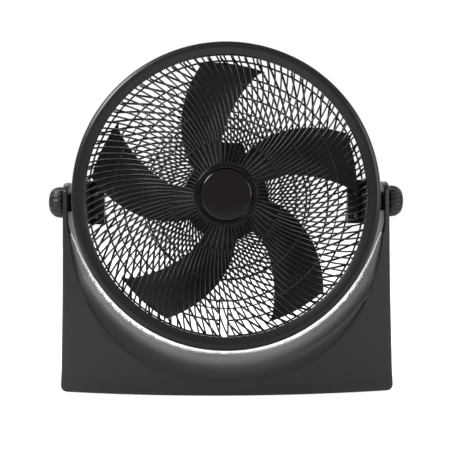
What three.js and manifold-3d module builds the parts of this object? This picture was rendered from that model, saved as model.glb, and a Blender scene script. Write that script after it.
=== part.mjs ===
// An air circulator fan: a round head with five swept blades between two spiral guards, held on a
// friction pivot in the arms of a broad U-shaped base. Millimetres, +Z up, the front looks along -Y.
import * as THREE from 'three';
import { mergeVertices } from 'three/addons/utils/BufferGeometryUtils.js';
import Module from 'manifold-3d';

const wasm = await Module();
wasm.setup();

// ---------------------------------------------------------------------------------------------
// Driving dimensions. Depths are counted back from the plane of the bezel's crown; radii and
// heights inside the head are counted from the head's own axis.
// ---------------------------------------------------------------------------------------------
const seatGap = 0.3; // left between two pieces that touch
const runGap = 1.2; // left beside pieces that turn
const roundSteps = 40; // facets of the large rings
const ringSteps = 32; // facets of the thin guard rings
const smallSteps = 24; // facets of hubs and knobs
const motorSteps = 16; // facets of the motor's parts

const pivotDrop = 6.4; // pivot below the head axis
const pivotDepth = 66; // pivot behind the bezel's crown

// Bezel and drum
const headR = 256.5;
const bezelWidth = 23.5; // from the drum's outside to the opening
const bezelCrown = 9; // from the drum's outside to the bezel's crown
const bezelDepth = 34;
const bezelWall = 2.5;
const openingDepth = 6; // the opening's edge lies this far behind the crown
const flangeDepth = 8;
const drumWall = 2.5;
const drumDepth = 70; // where the drum meets the rear guard
const drumNest = 14; // how far the drum slides into the bezel

// Front guard
const hubR = 51;
const hubForward = 43.5; // the ribs start this far in front of the crown
const hubThickness = 10;
const hubRise = 3; // the hub stands this far in front of the ribs
const hubEdge = 2.5;
const badgeR = 41.2;
const badgeSink = 4.5; // depth of the badge's seat in the hub
const badgeDome = 2;
const frontRibs = 60; // doubled outside the first ring
const frontPhase = 5.06; // clock angle of a rib where its hook turns
const frontRibWidth = 2.2;
const frontRibDepth = 4.5;
const domeCurve = 1.6;
const frontRings = [89, 137, 185];
const ringDepth = 2.6;
const ribTurnR = 86; // where the ribs' hook turns back
const ribHook = 0.0105; // degrees of hook inside that radius, per mm to the power 1.5
const ribSweep = 0.00665; // and outside it
const ribInset = 0.6; // the ribs start this far behind the opening's edge

// Rear guard
const rearPlane = 100;
const rearCorner = 8; // from the drum's outside to the guard's widest ring
const rearRibs = 72;
const rearPhase = 3.06;
const rearRibWidth = 2.7;
const rearRibDepth = 4;
const rearSlant = 45; // degrees between a rear rib and the radius
const rearRings = [218, 183, 144, 124]; // and one more at the guard's widest
const wellDepth = 81; // the middle of the guard is drawn forward to here
const plateR = 74;
const plateThickness = 3;
const plateRise = 4.6; // the plate's lip stands this far behind the well
const channelWidth = 13; // clear width of the slot at the bottom of the guard
const strutWidth = 2.4;
const ventPitch = 11;
const ventWidth = 5;
const ventLength = 14;

// Impeller. A blade's edges are given by the clock angles at which they leave the hub.
const blades = 5;
const bladeTrailRoot = 18.2;
const bladeTrailSweep = 0.254; // degrees that the trailing edge advances for each mm outwards
const bladeLeadRoot = 68;
const bladeLeadSweep = 0.156;
const bladeLeadStraight = 100; // the leading edge is radial inside this radius
const bladeEar = 1.6;
const bladeEarLength = 5;
const bladeCamber = 5;
const bladeTipGap = 4.5; // between the blades' sweep and the opening
const bladeThickness = 2.6;
const bladeRootDepth = 42;
const bladeTipDepth = 50;
const bladeRootPitch = 38;
const bladeTipPitch = 20;
const bladeStations = [0.17, 0.35, 0.55, 0.78, 0.95]; // shares of a blade's length where it bends
const impellerRun = 6.5; // between the motor and the impeller's cup
const impellerHubFront = 20;
const impellerHubRear = 62;
const impellerWall = 2.5;
const impellerBossR = 9;
const nutR = 11;
const nutLength = 12;
const nutFlutes = 4;
const nutFluteR = 2.4;
const nutCrown = 2; // thickness of the nut in front of the shaft

// Motor and controls
const motorR = 46;
const shaftR = 4;
const shaftClearance = 0.06;
const bearingR = 9;
const bearingLength = 10;
const bellFront = 36;
const bellDepth = 14;
const statorLength = 16;
const statorBoreR = 25;
const rotorGap = 0.8;
const motorWall = 2.5;
const coverDepth = 46; // control housing behind the guard
const coverTop = 98; // it reaches this far above the axis
const coverHalfWidth = 34;
const coverWall = 2.5;
const knobDrop = 26; // the speed knob's spindle lies this far below its top
const speedKnobR = 17;
const speedKnobLength = 16;
const spindleR = 3;
const spindleGrip = 9.6; // the spindle's length inside the knob
const spindleRoot = 8; // and inside the switch
const glandR = 6;
const glandBoreR = 3.5;
const glandCollar = 3;

// Pivot
const bossR = 17;
const armGapToHead = 11.5; // between the drum and the arm
const blockInnerX = 215;
const blockGap = 7.5; // between the blades' sweep and a block's wall
const blockStep = 9; // and its step round the guard's widest ring
const bossRoot = 8; // a boss starts this far inside the drum
const blockHeight = 77;
const blockFront = 40;
const panelThickness = 12;
const studDepth = 2;
const studR = 5;
const studClearance = 0.4;
const knobR = 27;
const knobLength = 26.4;
const studGrip = 16.2; // the stud's length inside the knob
const knobFlutes = 16;
const fluteDepth = 1.6;
const washerThickness = 1.2;
const washerR = 22;

// Base
const armThickness = 9.5;
const armR = 34;
const baseSpread = 6; // the base is this much wider at the floor, each side
const baseBottom = 2.5;
const baseFrontMiddle = 5; // depth of the front face at the middle
const baseFrontSide = 40; // and at its two sides
const baseRear = 190;
const baseRearBow = 14;
const baseCorner = 12;
const baseEdge = 9;
const baseToe = 16; // upright edge along the rear of the floor
const armEdge = 3;
const armFoot = 9; // rounding where an arm spreads into the base
const baseWall = 3;
const cradleGap = 9.5; // between the head and the saddle under it
const dishInset = 1.5; // the dish's radius is this much under the saddle's
const dishDrop = 51; // the dish's centre below the head axis
const sillHeight = 16.5; // lowest point of the dish above the floor
const dishLip = 41; // depth at which the dish has become the saddle
const saddleRear = 70; // here the saddle ends, and its floor falls to the toe behind it
const splitMargin = 1; // the joint between the shells lies this far behind the arms
const footR = 13;
const footInset = 45.5; // from the base's side
const frontFootInset = 24; // from the front corner
const rearFootInset = 32; // from the rear face

// Worked out from those
const openingR = headR - bezelWidth;
const bezelCrownR = headR - bezelCrown;
const rearCornerR = headR - rearCorner;
const bladeR = openingR - bladeTipGap;
const cradleR = headR + cradleGap; // saddle under the head
const dishR = cradleR - dishInset; // front edge of the rolled dish
const axisHeight = sillHeight + dishR + dishDrop;
const pivotHeight = axisHeight - pivotDrop;
const armHalfWidth = headR + armGapToHead + armThickness; // outer face at the pivot
const baseHalfWidth = armHalfWidth + baseSpread; // outer face at the floor
const shellSplit = pivotDepth + armR + splitMargin; // depth of the joint between the shells
const saddleFall = (axisHeight - cradleR - baseBottom - baseToe) / (baseRear - saddleRear);
const drumOuterR = headR - bezelWall - seatGap;
const drumInnerR = drumOuterR - drumWall;
const drumFront = bezelDepth - drumNest;
const hubFront = -(hubForward + hubRise);
const badgeFront = hubFront - badgeDome;
const badgeSeat = hubFront + badgeSink;
const plateFront = wellDepth - 1;
const plateLip = wellDepth + plateRise;
const coverR = plateR - plateThickness - seatGap; // the control housing nests in the plate's lip
const knobSeat = coverTop - knobDrop;
const impellerHubR = motorR + impellerRun + impellerWall;
const shaftFront = impellerHubFront - nutLength + nutCrown;
const originDepth = (badgeFront + baseRear) / 2; // middle of the whole object
const rad = THREE.MathUtils.degToRad;

// ---------------------------------------------------------------------------------------------
// Shape helpers
// ---------------------------------------------------------------------------------------------

// A closed geometry as a solid that faces out.
function solid(geometry) {
  const bare = new THREE.BufferGeometry();
  bare.setAttribute('position', geometry.getAttribute('position').clone());
  if (geometry.index) bare.setIndex(geometry.index.clone());
  const merged = mergeVertices(bare, 1e-3);
  const corners = Array.from(merged.index.array);
  const triangles = [];
  for (let i = 0; i < corners.length; i += 3) {
    const [a, b, c] = corners.slice(i, i + 3);
    if (a !== b && b !== c && a !== c) triangles.push([a, b, c]);
  }
  const vertProperties = new Float32Array(merged.attributes.position.array);
  const make = (list) =>
    new wasm.Manifold(new wasm.Mesh({ numProp: 3, vertProperties, triVerts: new Uint32Array(list.flat()) }));
  const made = make(triangles);
  return made.volume() < 0 ? make(triangles.map(([a, b, c]) => [a, c, b])) : made;
}

const joined = (solids) => solids.reduce((whole, piece) => whole.add(piece));

// A profile of [radius, depth] points turned round the head's axis.
function turned(profile, steps = roundSteps) {
  const points = profile.map(([r, depth]) => new THREE.Vector2(r, depth));
  const [first, last] = [points[0], points[points.length - 1]];
  const onAxis = first.x === 0 && last.x === 0;
  if (!onAxis) points.push(first.clone());
  return solid(new THREE.LatheGeometry(points, steps));
}

// A rod or disc on the head's axis, or a tube where it has a bore.
function rod(r, from, to, steps = smallSteps, bore = 0) {
  if (bore) return turned([[bore, from], [r, from], [r, to], [bore, to]], steps);
  return turned([[0, from], [r, from], [r, to], [0, to]], steps);
}

// The radius at which a bore's flats clear a shaft's corners.
const boreFor = (r, clearance, steps = motorSteps) => (r + clearance) / Math.cos(Math.PI / steps);

const shapeOf = (points) => new THREE.Shape(points.map(([a, b]) => new THREE.Vector2(a, b)));
const axes = { x: [1, 0, 0], y: [0, 1, 0], z: [0, 0, 1] };
const vector = (name, sign = 1) => new THREE.Vector3(...axes[name]).multiplyScalar(sign);

// A shape extruded between two values of the axis that it faces.
function slab(shape, along, from, to, curveSegments = 8) {
  const sizes = { depth: to - from, bevelEnabled: false, curveSegments };
  const geometry = new THREE.ExtrudeGeometry(shape, sizes);
  const turn = new THREE.Matrix4();
  if (along === 'x') turn.makeBasis(vector('y'), vector('z'), vector('x'));
  if (along === 'y') turn.makeBasis(vector('x'), vector('z'), vector('y', -1));
  geometry.applyMatrix4(turn);
  const start = along === 'y' ? to : from;
  geometry.translate(...vector(along, start).toArray());
  return solid(geometry);
}

// A skin through rings of points, closed by a fan at each end.
function lofted(rings) {
  const count = rings[0].length;
  const vertices = rings.flat();
  const index = [];
  for (let r = 0; r + 1 < rings.length; r++)
    for (let k = 0; k < count; k++) {
      const a = r * count + k;
      const b = r * count + ((k + 1) % count);
      index.push(a, b, b + count, a, b + count, a + count);
    }
  for (const [r, flip] of [[0, true], [rings.length - 1, false]]) {
    const middle = rings[r].reduce((sum, p) => sum.add(p), new THREE.Vector3()).divideScalar(count);
    vertices.push(middle);
    for (let k = 0; k < count; k++) {
      const a = r * count + k;
      const b = r * count + ((k + 1) % count);
      index.push(...(flip ? [b, a, vertices.length - 1] : [a, b, vertices.length - 1]));
    }
  }
  const geometry = new THREE.BufferGeometry().setFromPoints(vertices);
  geometry.setIndex(index);
  return solid(geometry);
}

// A solid moved so that its own axis, which is the head's, lies along X at the pivot's depth.
const alongX = (piece) => piece.rotate([0, 0, -90]);

// A point of the head, from its radius, clock angle in degrees from the top, and depth.
const headPoint = (r, degrees, depth) =>
  new THREE.Vector3(r * Math.sin(rad(degrees)), depth, r * Math.cos(rad(degrees)));

// ---------------------------------------------------------------------------------------------
// Finishes
// ---------------------------------------------------------------------------------------------
const finish = (color, roughness, metalness = 0) => ({ color, roughness, metalness });
const satinBlack = finish(0x323234, 0.42);
const guardBlack = finish(0x2c2c2e, 0.4);
const bladeBlack = finish(0x1d1d1f, 0.55);
const badgeBlack = finish(0x1e1a1e, 0.15);
const baseBlack = finish(0x3a3a3c, 0.38);
const rubberBlack = finish(0x161616, 0.9);
const bareSteel = finish(0xa9abad, 0.35, 0.9);
const castMetal = finish(0x8e9092, 0.5, 0.8);
const laminatedSteel = finish(0x6b6d70, 0.5, 0.8);
const copperWire = finish(0xb06a35, 0.4, 0.8);
const bronze = finish(0x9c7a45, 0.45, 0.8);
const nylon = finish(0xd8d5cc, 0.5);

function node(name, piece, look) {
  const { vertProperties, triVerts } = piece.getMesh();
  const geometry = new THREE.BufferGeometry();
  geometry.setAttribute('position', new THREE.BufferAttribute(new Float32Array(vertProperties), 3));
  geometry.setIndex(new THREE.BufferAttribute(new Uint32Array(triVerts), 1));
  geometry.computeVertexNormals();
  const mesh = new THREE.Mesh(geometry, new THREE.MeshStandardMaterial(look));
  mesh.name = name;
  return mesh;
}

// ---------------------------------------------------------------------------------------------
// Front guard
// ---------------------------------------------------------------------------------------------

// Radii at which the ribs bend.
const ribRadii = [hubR - 1.5, ribTurnR, (frontRings[1] + frontRings[2]) / 2, openingR + bezelWall / 2];

// Depth of the ribs' front edges: a shallow dome that is steepest beside the hub.
function frontDepth(r) {
  const out = (r - hubR) / (openingR - hubR);
  const fallen = 1 - Math.sign(1 - out) * Math.abs(1 - out) ** domeCurve;
  return -hubForward + (hubForward + openingDepth + ribInset) * fallen;
}

// Depth of the ribs' backs, which run straight from one of their stations to the next.
function frontBack(r) {
  const k = ribRadii.findIndex((at) => at >= r);
  const [inner, outer] = [ribRadii[k - 1], ribRadii[k]];
  const out = (r - inner) / (outer - inner);
  return THREE.MathUtils.lerp(frontDepth(inner), frontDepth(outer), out) + frontRibDepth;
}

// The ribs hook forwards beside the hub and sweep back outside it.
function frontAngle(r) {
  const away = Math.abs(r - ribTurnR) ** 1.5;
  return -(r < ribTurnR ? ribHook : ribSweep) * away;
}

// One rib: a three-cornered section, its edge to the front, slid along the radii given without
// turning, so that its sides stay flat.
function frontRib(start, radii) {
  const middle = radii[Math.floor(radii.length / 2)];
  const side = headPoint(frontRibWidth / 2, start + frontAngle(middle) + 90, 0);
  const back = vector('y').multiplyScalar(frontRibDepth);
  const rings = radii.map((r) => {
    const edge = headPoint(r, start + frontAngle(r), frontDepth(r));
    return [edge, edge.clone().add(back).add(side), edge.clone().add(back).sub(side)];
  });
  return lofted(rings);
}

function bezelProfile() {
  const back = openingDepth + flangeDepth;
  return [
    [openingR, openingDepth],
    [bezelCrownR, 0],
    [headR - 2.6, 3.4],
    [headR, 11],
    [headR, bezelDepth],
    [headR - bezelWall, bezelDepth],
    [headR - bezelWall, 11],
    [bezelCrownR, bezelWall * 1.4],
    [openingR + bezelWall, openingDepth + bezelWall],
    [openingR + bezelWall, back],
    [openingR, back],
  ];
}

function hubProfile() {
  const back = hubFront + hubThickness;
  return [
    [0, badgeSeat],
    [badgeR + seatGap, badgeSeat],
    [badgeR + seatGap, hubFront],
    [hubR - hubEdge, hubFront],
    [hubR, hubFront + hubEdge],
    [hubR, back],
    [hubR - hubEdge, back],
    [0, badgeSeat + hubEdge],
  ];
}

function makeFrontGuard() {
  const extraRadii = [frontRings[0] - 1, ...ribRadii.slice(2)];
  const pitch = 360 / frontRibs;
  const pieces = [turned(bezelProfile()), turned(hubProfile(), frontRibs / 2)];
  for (let k = 0; k < frontRibs; k++) {
    pieces.push(frontRib(frontPhase + k * pitch, ribRadii));
    pieces.push(frontRib(frontPhase + (k + 0.5) * pitch, extraRadii));
  }
  return joined(pieces);
}

// A ring of three-cornered section that lies on the backs of the ribs.
function makeFrontRing(r) {
  const corner = (at, behind) => [at, frontBack(at) + behind];
  const half = frontRibWidth / 2;
  return turned([corner(r - half, seatGap), corner(r + half, seatGap), corner(r, ringDepth)], ringSteps);
}

function makeBadge() {
  const seat = badgeSeat - seatGap;
  return turned([
    [0, badgeFront],
    [badgeR * 0.6, hubFront - badgeDome * 0.7],
    [badgeR - badgeDome * 1.5, hubFront - badgeDome * 0.2],
    [badgeR, hubFront + badgeDome * 0.8],
    [badgeR, seat],
    [0, seat],
  ], smallSteps);
}

// ---------------------------------------------------------------------------------------------
// Drum and rear guard
// ---------------------------------------------------------------------------------------------

// The space of a pivot block, seen from above, on the side where x is positive.
function blockSpace(grow) {
  const outer = headR + 5;
  const low = -pivotDrop - blockHeight / 2 - grow;
  const shape = shapeOf([
    [blockInnerX - grow, drumDepth],
    [outer, drumDepth],
    [outer, rearPlane + 10],
    [blockInnerX - grow, rearPlane + 10],
  ]);
  return slab(shape, 'z', low, low + blockHeight + 2 * grow);
}

const bothSides = (piece) => piece.add(piece.mirror([1, 0, 0]));
const acrossPivot = (r, from, to) =>
  alongX(rod(r, from, to, motorSteps)).translate([0, pivotDepth, -pivotDrop]);

function makeDrum() {
  const shell = turned([
    [drumInnerR, drumFront],
    [drumOuterR, drumFront],
    [drumOuterR, drumDepth],
    [drumInnerR, drumDepth],
  ]);
  return shell.subtract(acrossPivot(bossR + seatGap, -headR * 2, headR * 2));
}

// The rear guard's section from its rim round the corner, across the back and down into the well.
const rearPath = [
  [drumInnerR - 2, drumDepth + 2],
  [drumInnerR - 2, rearPlane - 9],
  [rearCornerR - 7, rearPlane],
  [rearRings[1], rearPlane],
  [rearRings[2], rearPlane],
  [rearRings[3], wellDepth],
  [plateR - 2, wellDepth],
];

// Outward direction of that section at each of its points, and the line of the ribs' outer edges.
const rearOut = rearPath.map((here, i) => {
  const before = rearPath[Math.max(i - 1, 0)];
  const after = rearPath[Math.min(i + 1, rearPath.length - 1)];
  const run = new THREE.Vector2(after[0] - before[0], after[1] - before[1]).normalize();
  return [run.y, -run.x];
});
const rearEdge = rearPath.map(([r, depth], i) =>
  [r + rearOut[i][0] * rearRibDepth, depth + rearOut[i][1] * rearRibDepth]);

// Depth of the ribs' outer edges across the back of the guard.
function rearBack(r) {
  const back = rearEdge.slice(1);
  const i = Math.max(1, back.findIndex(([at]) => at <= r));
  const [outR, outDepth] = back[i - 1];
  const [inR, inDepth] = back[i];
  return inDepth + ((r - inR) / (outR - inR)) * (outDepth - inDepth);
}

const rearAngle = (r) => -Math.tan(rad(rearSlant)) * Math.log(r / rearCornerR) / rad(1);

// One rear rib: a three-cornered section, its edge to the outside, following the guard's section.
// Its first and last stretches run straight into the rim and the plate.
function rearRib(start) {
  const angleAt = (r) => start + rearAngle(Math.min(r, rearCornerR));
  const spots = rearPath.map(([r, depth]) => headPoint(r, angleAt(r), depth));
  const last = rearPath.length - 1;
  const rings = rearPath.map((here, i) => {
    const k = THREE.MathUtils.clamp(i, 1, last - 1);
    const along = spots[k + 1].clone().sub(spots[k - 1]);
    const [outR, outDepth] = rearOut[k];
    const out = headPoint(outR, angleAt(rearPath[k][0]), outDepth);
    const side = new THREE.Vector3().crossVectors(along, out).setLength(rearRibWidth / 2);
    const edge = out.multiplyScalar(rearRibDepth).add(spots[i]);
    return [edge, spots[i].clone().add(side), spots[i].clone().sub(side)];
  });
  return lofted(rings);
}

// Vent slots that pass through the middle of the guard and the back of the control housing.
function ventSlots(from, to) {
  const slots = [-1, 0, 1].map((k) => {
    const x = k * ventPitch;
    const top = -motorR - 6;
    const shape = shapeOf([
      [x - ventWidth / 2, top - ventLength],
      [x + ventWidth / 2, top - ventLength],
      [x + ventWidth / 2, top],
      [x - ventWidth / 2, top],
    ]);
    return slab(shape, 'y', from, to);
  });
  return joined(slots);
}

function makeRearGuard() {
  const rimWidth = rearRibDepth + 2;
  const rim = turned([
    [drumOuterR - rimWidth, drumDepth + seatGap],
    [drumOuterR, drumDepth + seatGap],
    [drumOuterR, drumDepth + 4],
    [drumOuterR - rimWidth, drumDepth + 4],
  ]);
  const floorBack = plateFront + plateThickness;
  const bore = boreFor(rearNoseR, seatGap);
  const plate = turned([
    [bore, plateFront],
    [plateR, plateFront],
    [plateR, plateLip],
    [plateR - plateThickness, plateLip],
    [plateR - plateThickness, floorBack],
    [bore, floorBack],
  ], smallSteps);
  const ribs = [];
  for (let k = 0; k < rearRibs; k++) ribs.push(rearRib(rearPhase + (k * 360) / rearRibs));
  const channel = slab(shapeOf([
    [-channelWidth / 2 - strutWidth, -headR],
    [channelWidth / 2 + strutWidth, -headR],
    [channelWidth / 2 + strutWidth, -rearRings[1]],
    [-channelWidth / 2 - strutWidth, -rearRings[1]],
  ]), 'y', drumDepth + 5, rearPlane + 10);
  const guard = joined([rim, ...ribs]).subtract(channel).add(plate);
  return guard
    .add(bothSides(channelStrut()))
    .subtract(ventSlots(wellDepth - 5, wellDepth + 5))
    .subtract(bothSides(blockSpace(seatGap)));
}

// A straight strut beside the channel at the bottom of the guard, bent down to the rim.
function channelStrut() {
  const side = shapeOf([
    [drumDepth + 2, -drumOuterR + 1],
    [drumDepth + 2, -drumOuterR + 5],
    [rearPlane - 2, -drumOuterR + 5],
    [rearPlane, -rearCornerR + 4],
    [rearPlane, -rearRings[1] + 4],
    [rearPlane + rearRibDepth, -rearRings[1] + 4],
    [rearPlane + rearRibDepth, -drumOuterR + 6],
    [rearPlane - 1, -drumOuterR + 1],
  ]);
  return slab(side, 'x', channelWidth / 2, channelWidth / 2 + strutWidth);
}

// A ring lies on the ribs' outer edges. Those that would cross the channel end at its struts.
function makeRearRing(r) {
  const half = rearRibWidth / 2;
  const nearest = (r - half) * Math.cos(Math.PI / ringSteps);
  const seat = Math.max(rearBack(nearest), rearBack(r + half)) + seatGap;
  const ring = turned([[r - half, seat], [r + half, seat], [r, seat + ringDepth]], ringSteps);
  if (r <= blockInnerX) return ring;
  const reach = channelWidth / 2 + strutWidth + seatGap;
  const gap = shapeOf([[-reach, -headR], [reach, -headR], [reach, 0], [-reach, 0]]);
  return ring.subtract(slab(gap, 'y', 0, rearPlane * 2));
}

// ---------------------------------------------------------------------------------------------
// Pivot blocks, tilt knobs and their studs; each is made for the side where x is positive
// ---------------------------------------------------------------------------------------------
const armInnerX = headR + armGapToHead;
const blockWallR = bladeR + blockGap;
const knobFaceX = armHalfWidth + seatGap + washerThickness + seatGap;

function makePivotBlock() {
  const low = -pivotDrop - blockHeight / 2;
  const side = (points) => slab(shapeOf(points), 'z', low, low + blockHeight);
  const panelFront = rearPlane - panelThickness;
  const wall = side([
    [blockWallR, blockFront],
    [headR, blockFront],
    [headR, drumDepth - seatGap],
    [blockWallR, drumDepth - seatGap],
  ]).intersect(rod(drumInnerR - seatGap, 0, rearPlane * 2, roundSteps));
  const back = side([
    [blockWallR, drumDepth - 1],
    [headR, drumDepth - 1],
    [headR, rearPlane - 3],
    [bladeR + blockStep, rearPlane - 3],
    [bladeR + blockStep, rearPlane + rearRibDepth],
    [blockInnerX, rearPlane + rearRibDepth],
    [blockInnerX, panelFront],
    [blockWallR, panelFront],
  ]).intersect(rod(drumOuterR, drumDepth + seatGap, rearPlane * 2, roundSteps));
  const bridge = side([
    [blockWallR, drumDepth - 1],
    [drumInnerR - 4, drumDepth - 1],
    [drumInnerR - 4, drumDepth + 1],
    [blockWallR, drumDepth + 1],
  ]).intersect(rod(drumInnerR - seatGap, 0, rearPlane * 2, roundSteps));
  const boss = acrossPivot(bossR, drumInnerR - bossRoot, armInnerX - seatGap);
  const bore = acrossPivot(boreFor(studR, studClearance), drumInnerR - bossRoot - studDepth, headR * 2);
  return joined([wall, back, bridge, boss]).subtract(bore);
}

function makeStud() {
  return acrossPivot(studR, drumInnerR - bossRoot + studClearance, knobFaceX + studGrip);
}

function makeTiltKnob() {
  const ring = (x, scale) => {
    const points = [];
    for (let k = 0; k < knobFlutes * 2; k++) {
      const turn = (k / (knobFlutes * 2)) * 2 * Math.PI;
      const r = (knobR - fluteDepth * (0.5 - 0.5 * Math.cos(knobFlutes * turn))) * scale;
      points.push(new THREE.Vector3(x, pivotDepth + r * Math.cos(turn), -pivotDrop + r * Math.sin(turn)));
    }
    return points;
  };
  const end = knobFaceX + knobLength;
  const body = lofted([
    ring(knobFaceX, 0.96),
    ring(knobFaceX + 2, 1),
    ring(end - 13, 0.97),
    ring(end - 4, 0.74),
    ring(end, 0.2),
  ]);
  const socket = acrossPivot(boreFor(studR, seatGap), knobFaceX - 1, knobFaceX + studGrip + seatGap);
  return body.subtract(socket);
}

function makeWasher() {
  const outer = acrossPivot(washerR, armHalfWidth + seatGap, armHalfWidth + seatGap + washerThickness);
  return outer.subtract(acrossPivot(boreFor(studR, studClearance), 0, headR * 2));
}

// ---------------------------------------------------------------------------------------------
// Impeller
// ---------------------------------------------------------------------------------------------

// Clock angles of a blade's two edges. The tip leads, and its corner ends in a small ear.
const trailingAngle = (r) => bladeTrailRoot + bladeTrailSweep * (r - impellerHubR);
function leadingAngle(r) {
  const ear = bladeEar * Math.exp(-(((bladeR - r) / bladeEarLength) ** 2));
  return bladeLeadRoot + bladeLeadSweep * Math.max(0, r - bladeLeadStraight) + ear;
}

function bladeSection(r, turn) {
  const out = (r - impellerHubR) / (bladeR - impellerHubR);
  const from = trailingAngle(r);
  const to = leadingAngle(r);
  const middle = THREE.MathUtils.lerp(bladeRootDepth, bladeTipDepth, out);
  const flattened = Math.sqrt(Math.max(out, 0));
  const pitch = Math.tan(rad(THREE.MathUtils.lerp(bladeRootPitch, bladeTipPitch, flattened)));
  const chordStations = 4;
  const skin = (side) => {
    const points = [];
    for (let k = 0; k <= chordStations; k++) {
      const t = k / chordStations;
      const angle = THREE.MathUtils.lerp(from, to, t);
      const along = r * rad(angle - (from + to) / 2);
      const camber = bladeCamber * (1 - (2 * t - 1) ** 2);
      const thick = bladeThickness * (0.45 + 0.55 * Math.sin(Math.PI * t));
      points.push(headPoint(r, angle + turn, middle + pitch * along + camber + (side * thick) / 2));
    }
    return points;
  };
  return [...skin(-1), ...skin(1).reverse()];
}

function makeBlades() {
  const between = bladeStations.map((out) => THREE.MathUtils.lerp(impellerHubR, bladeR, out));
  const radii = [impellerHubR - 1.2, ...between, bladeR];
  const blade = (k) => lofted(radii.map((r) => bladeSection(r, (k * 360) / blades)));
  const bore = boreFor(shaftR, shaftClearance);
  const cup = turned([
    [bore, impellerHubFront],
    [impellerHubR - 4, impellerHubFront],
    [impellerHubR, impellerHubFront + 4],
    [impellerHubR, impellerHubRear],
    [impellerHubR - impellerWall, impellerHubRear],
    [impellerHubR - impellerWall, impellerHubFront + 4],
    [impellerHubR - 4, impellerHubFront + impellerWall],
    [impellerBossR, impellerHubFront + impellerWall],
    [impellerBossR, noseFront - runGap],
    [bore, noseFront - runGap],
  ], smallSteps);
  const pieces = [cup];
  for (let k = 0; k < blades; k++) pieces.push(blade(k));
  return joined(pieces);
}

const makeShaft = () => rod(shaftR, shaftFront, shaftRear, motorSteps);

// The hand nut that locks the impeller: a fluted spinner with a blind thread.
function makeBladeNut() {
  const back = impellerHubFront - seatGap;
  const body = turned([
    [0, back - nutLength],
    [nutR * 0.7, back - nutLength],
    [nutR, back - nutLength * 0.7],
    [nutR, back],
    [0, back],
  ], motorSteps);
  const thread = rod(boreFor(shaftR, seatGap), shaftFront - seatGap, impellerHubFront + 5, motorSteps);
  const flutes = [];
  for (let k = 0; k < nutFlutes; k++) {
    const flute = rod(nutFluteR, 0, impellerHubFront + 5, 6).translate([nutR + 1, 0, 0]);
    flutes.push(flute.rotate([0, (k * 360) / nutFlutes, 0]));
  }
  return flutes.reduce((nut, flute) => nut.subtract(flute), body).subtract(thread);
}

// ---------------------------------------------------------------------------------------------
// Motor
// ---------------------------------------------------------------------------------------------
const noseFront = bellFront - 7; // front end of the front bell's bearing nose
const statorFront = bellFront + bellDepth + seatGap;
const statorRear = statorFront + statorLength;
const motorRear = plateFront - seatGap; // the motor stands on the guard's middle plate
const rearNoseR = bearingR + 3;
const rearBearing = motorRear - 1;
const shaftRear = rearBearing + bearingLength + 2;

function makeFrontBell() {
  const bore = boreFor(bearingR, seatGap);
  return turned([
    [bore, noseFront],
    [bearingR + 3, noseFront],
    [bearingR + 4, bellFront],
    [motorR - 4, bellFront],
    [motorR, bellFront + 4],
    [motorR, bellFront + bellDepth],
    [motorR - motorWall, bellFront + bellDepth],
    [motorR - motorWall, bellFront + 5],
    [motorR - 5, bellFront + motorWall],
    [bore, bellFront + motorWall],
  ], motorSteps);
}

function makeRearBell() {
  const bore = boreFor(bearingR, seatGap);
  return turned([
    [motorR - motorWall, statorRear + seatGap],
    [motorR, statorRear + seatGap],
    [motorR, motorRear],
    [rearNoseR, motorRear],
    [rearNoseR, rearBearing + bearingLength],
    [bore, rearBearing + bearingLength],
    [bore, motorRear - motorWall],
    [motorR - motorWall, motorRear - motorWall],
  ], motorSteps);
}

const makeStator = () => rod(motorR, statorFront, statorRear, motorSteps, statorBoreR);
const makeRotor = () => {
  const bore = boreFor(shaftR, shaftClearance);
  return rod(statorBoreR - rotorGap, statorFront + 1, statorRear - 1, motorSteps, bore);
};
const makeBearing = (from) =>
  rod(bearingR, from, from + bearingLength, motorSteps, boreFor(shaftR, shaftClearance));

function makeWinding(from, to) {
  const outer = motorR - motorWall - 3;
  const inner = statorBoreR + 2;
  return turned([
    [inner, from],
    [outer, from],
    [outer, (from + to) / 2],
    [(inner + outer) / 2, to],
    [inner, (from + to) / 2],
  ], motorSteps);
}

// ---------------------------------------------------------------------------------------------
// Control housing behind the guard, with its switch, knob, capacitor and cord gland
// ---------------------------------------------------------------------------------------------
const coverFront = plateLip + seatGap;
const coverBack = coverFront + coverDepth;

// Rounds each corner of an outline by its own radius.
function roundedShape(corners) {
  const shape = new THREE.Shape();
  const count = corners.length;
  corners.forEach(([x, y, r = 0], i) => {
    const here = new THREE.Vector2(x, y);
    const back = new THREE.Vector2(...corners[(i + count - 1) % count].slice(0, 2)).sub(here).setLength(r);
    const ahead = new THREE.Vector2(...corners[(i + 1) % count].slice(0, 2)).sub(here).setLength(r);
    const start = here.clone().add(back);
    if (i === 0) shape.moveTo(start.x, start.y);
    else shape.lineTo(start.x, start.y);
    if (r) shape.quadraticCurveTo(x, y, x + ahead.x, y + ahead.y);
  });
  shape.closePath();
  return shape;
}

function coverForm(inset, from, to) {
  const round = rod(coverR - inset, from, to, smallSteps);
  const w = coverHalfWidth - inset;
  const tower = slab(roundedShape([[-w, 0], [w, 0], [w, coverTop - inset, 12], [-w, coverTop - inset, 12]]),
    'y', from, to, 3);
  return round.add(tower);
}

function makeControlCover() {
  const spindle = rod(boreFor(spindleR, seatGap), coverFront, coverBack * 2, smallSteps / 2);
  return coverForm(0, coverFront, coverBack)
    .subtract(coverForm(coverWall, coverFront - 1, coverBack - coverWall))
    .subtract(spindle.translate([0, 0, knobSeat]))
    .subtract(ventSlots(coverBack - 5, coverBack + 5))
    .subtract(glandRod(glandR + seatGap, -plateR, 0));
}

// A rod that stands upright through the bottom of the control housing.
const glandDepth = (coverFront + coverBack) / 2;
const glandRod = (r, from, to, bore = 0) =>
  rod(r, from, to, smallSteps / 2, bore).rotate([90, 0, 0]).translate([0, glandDepth, 0]);

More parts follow.
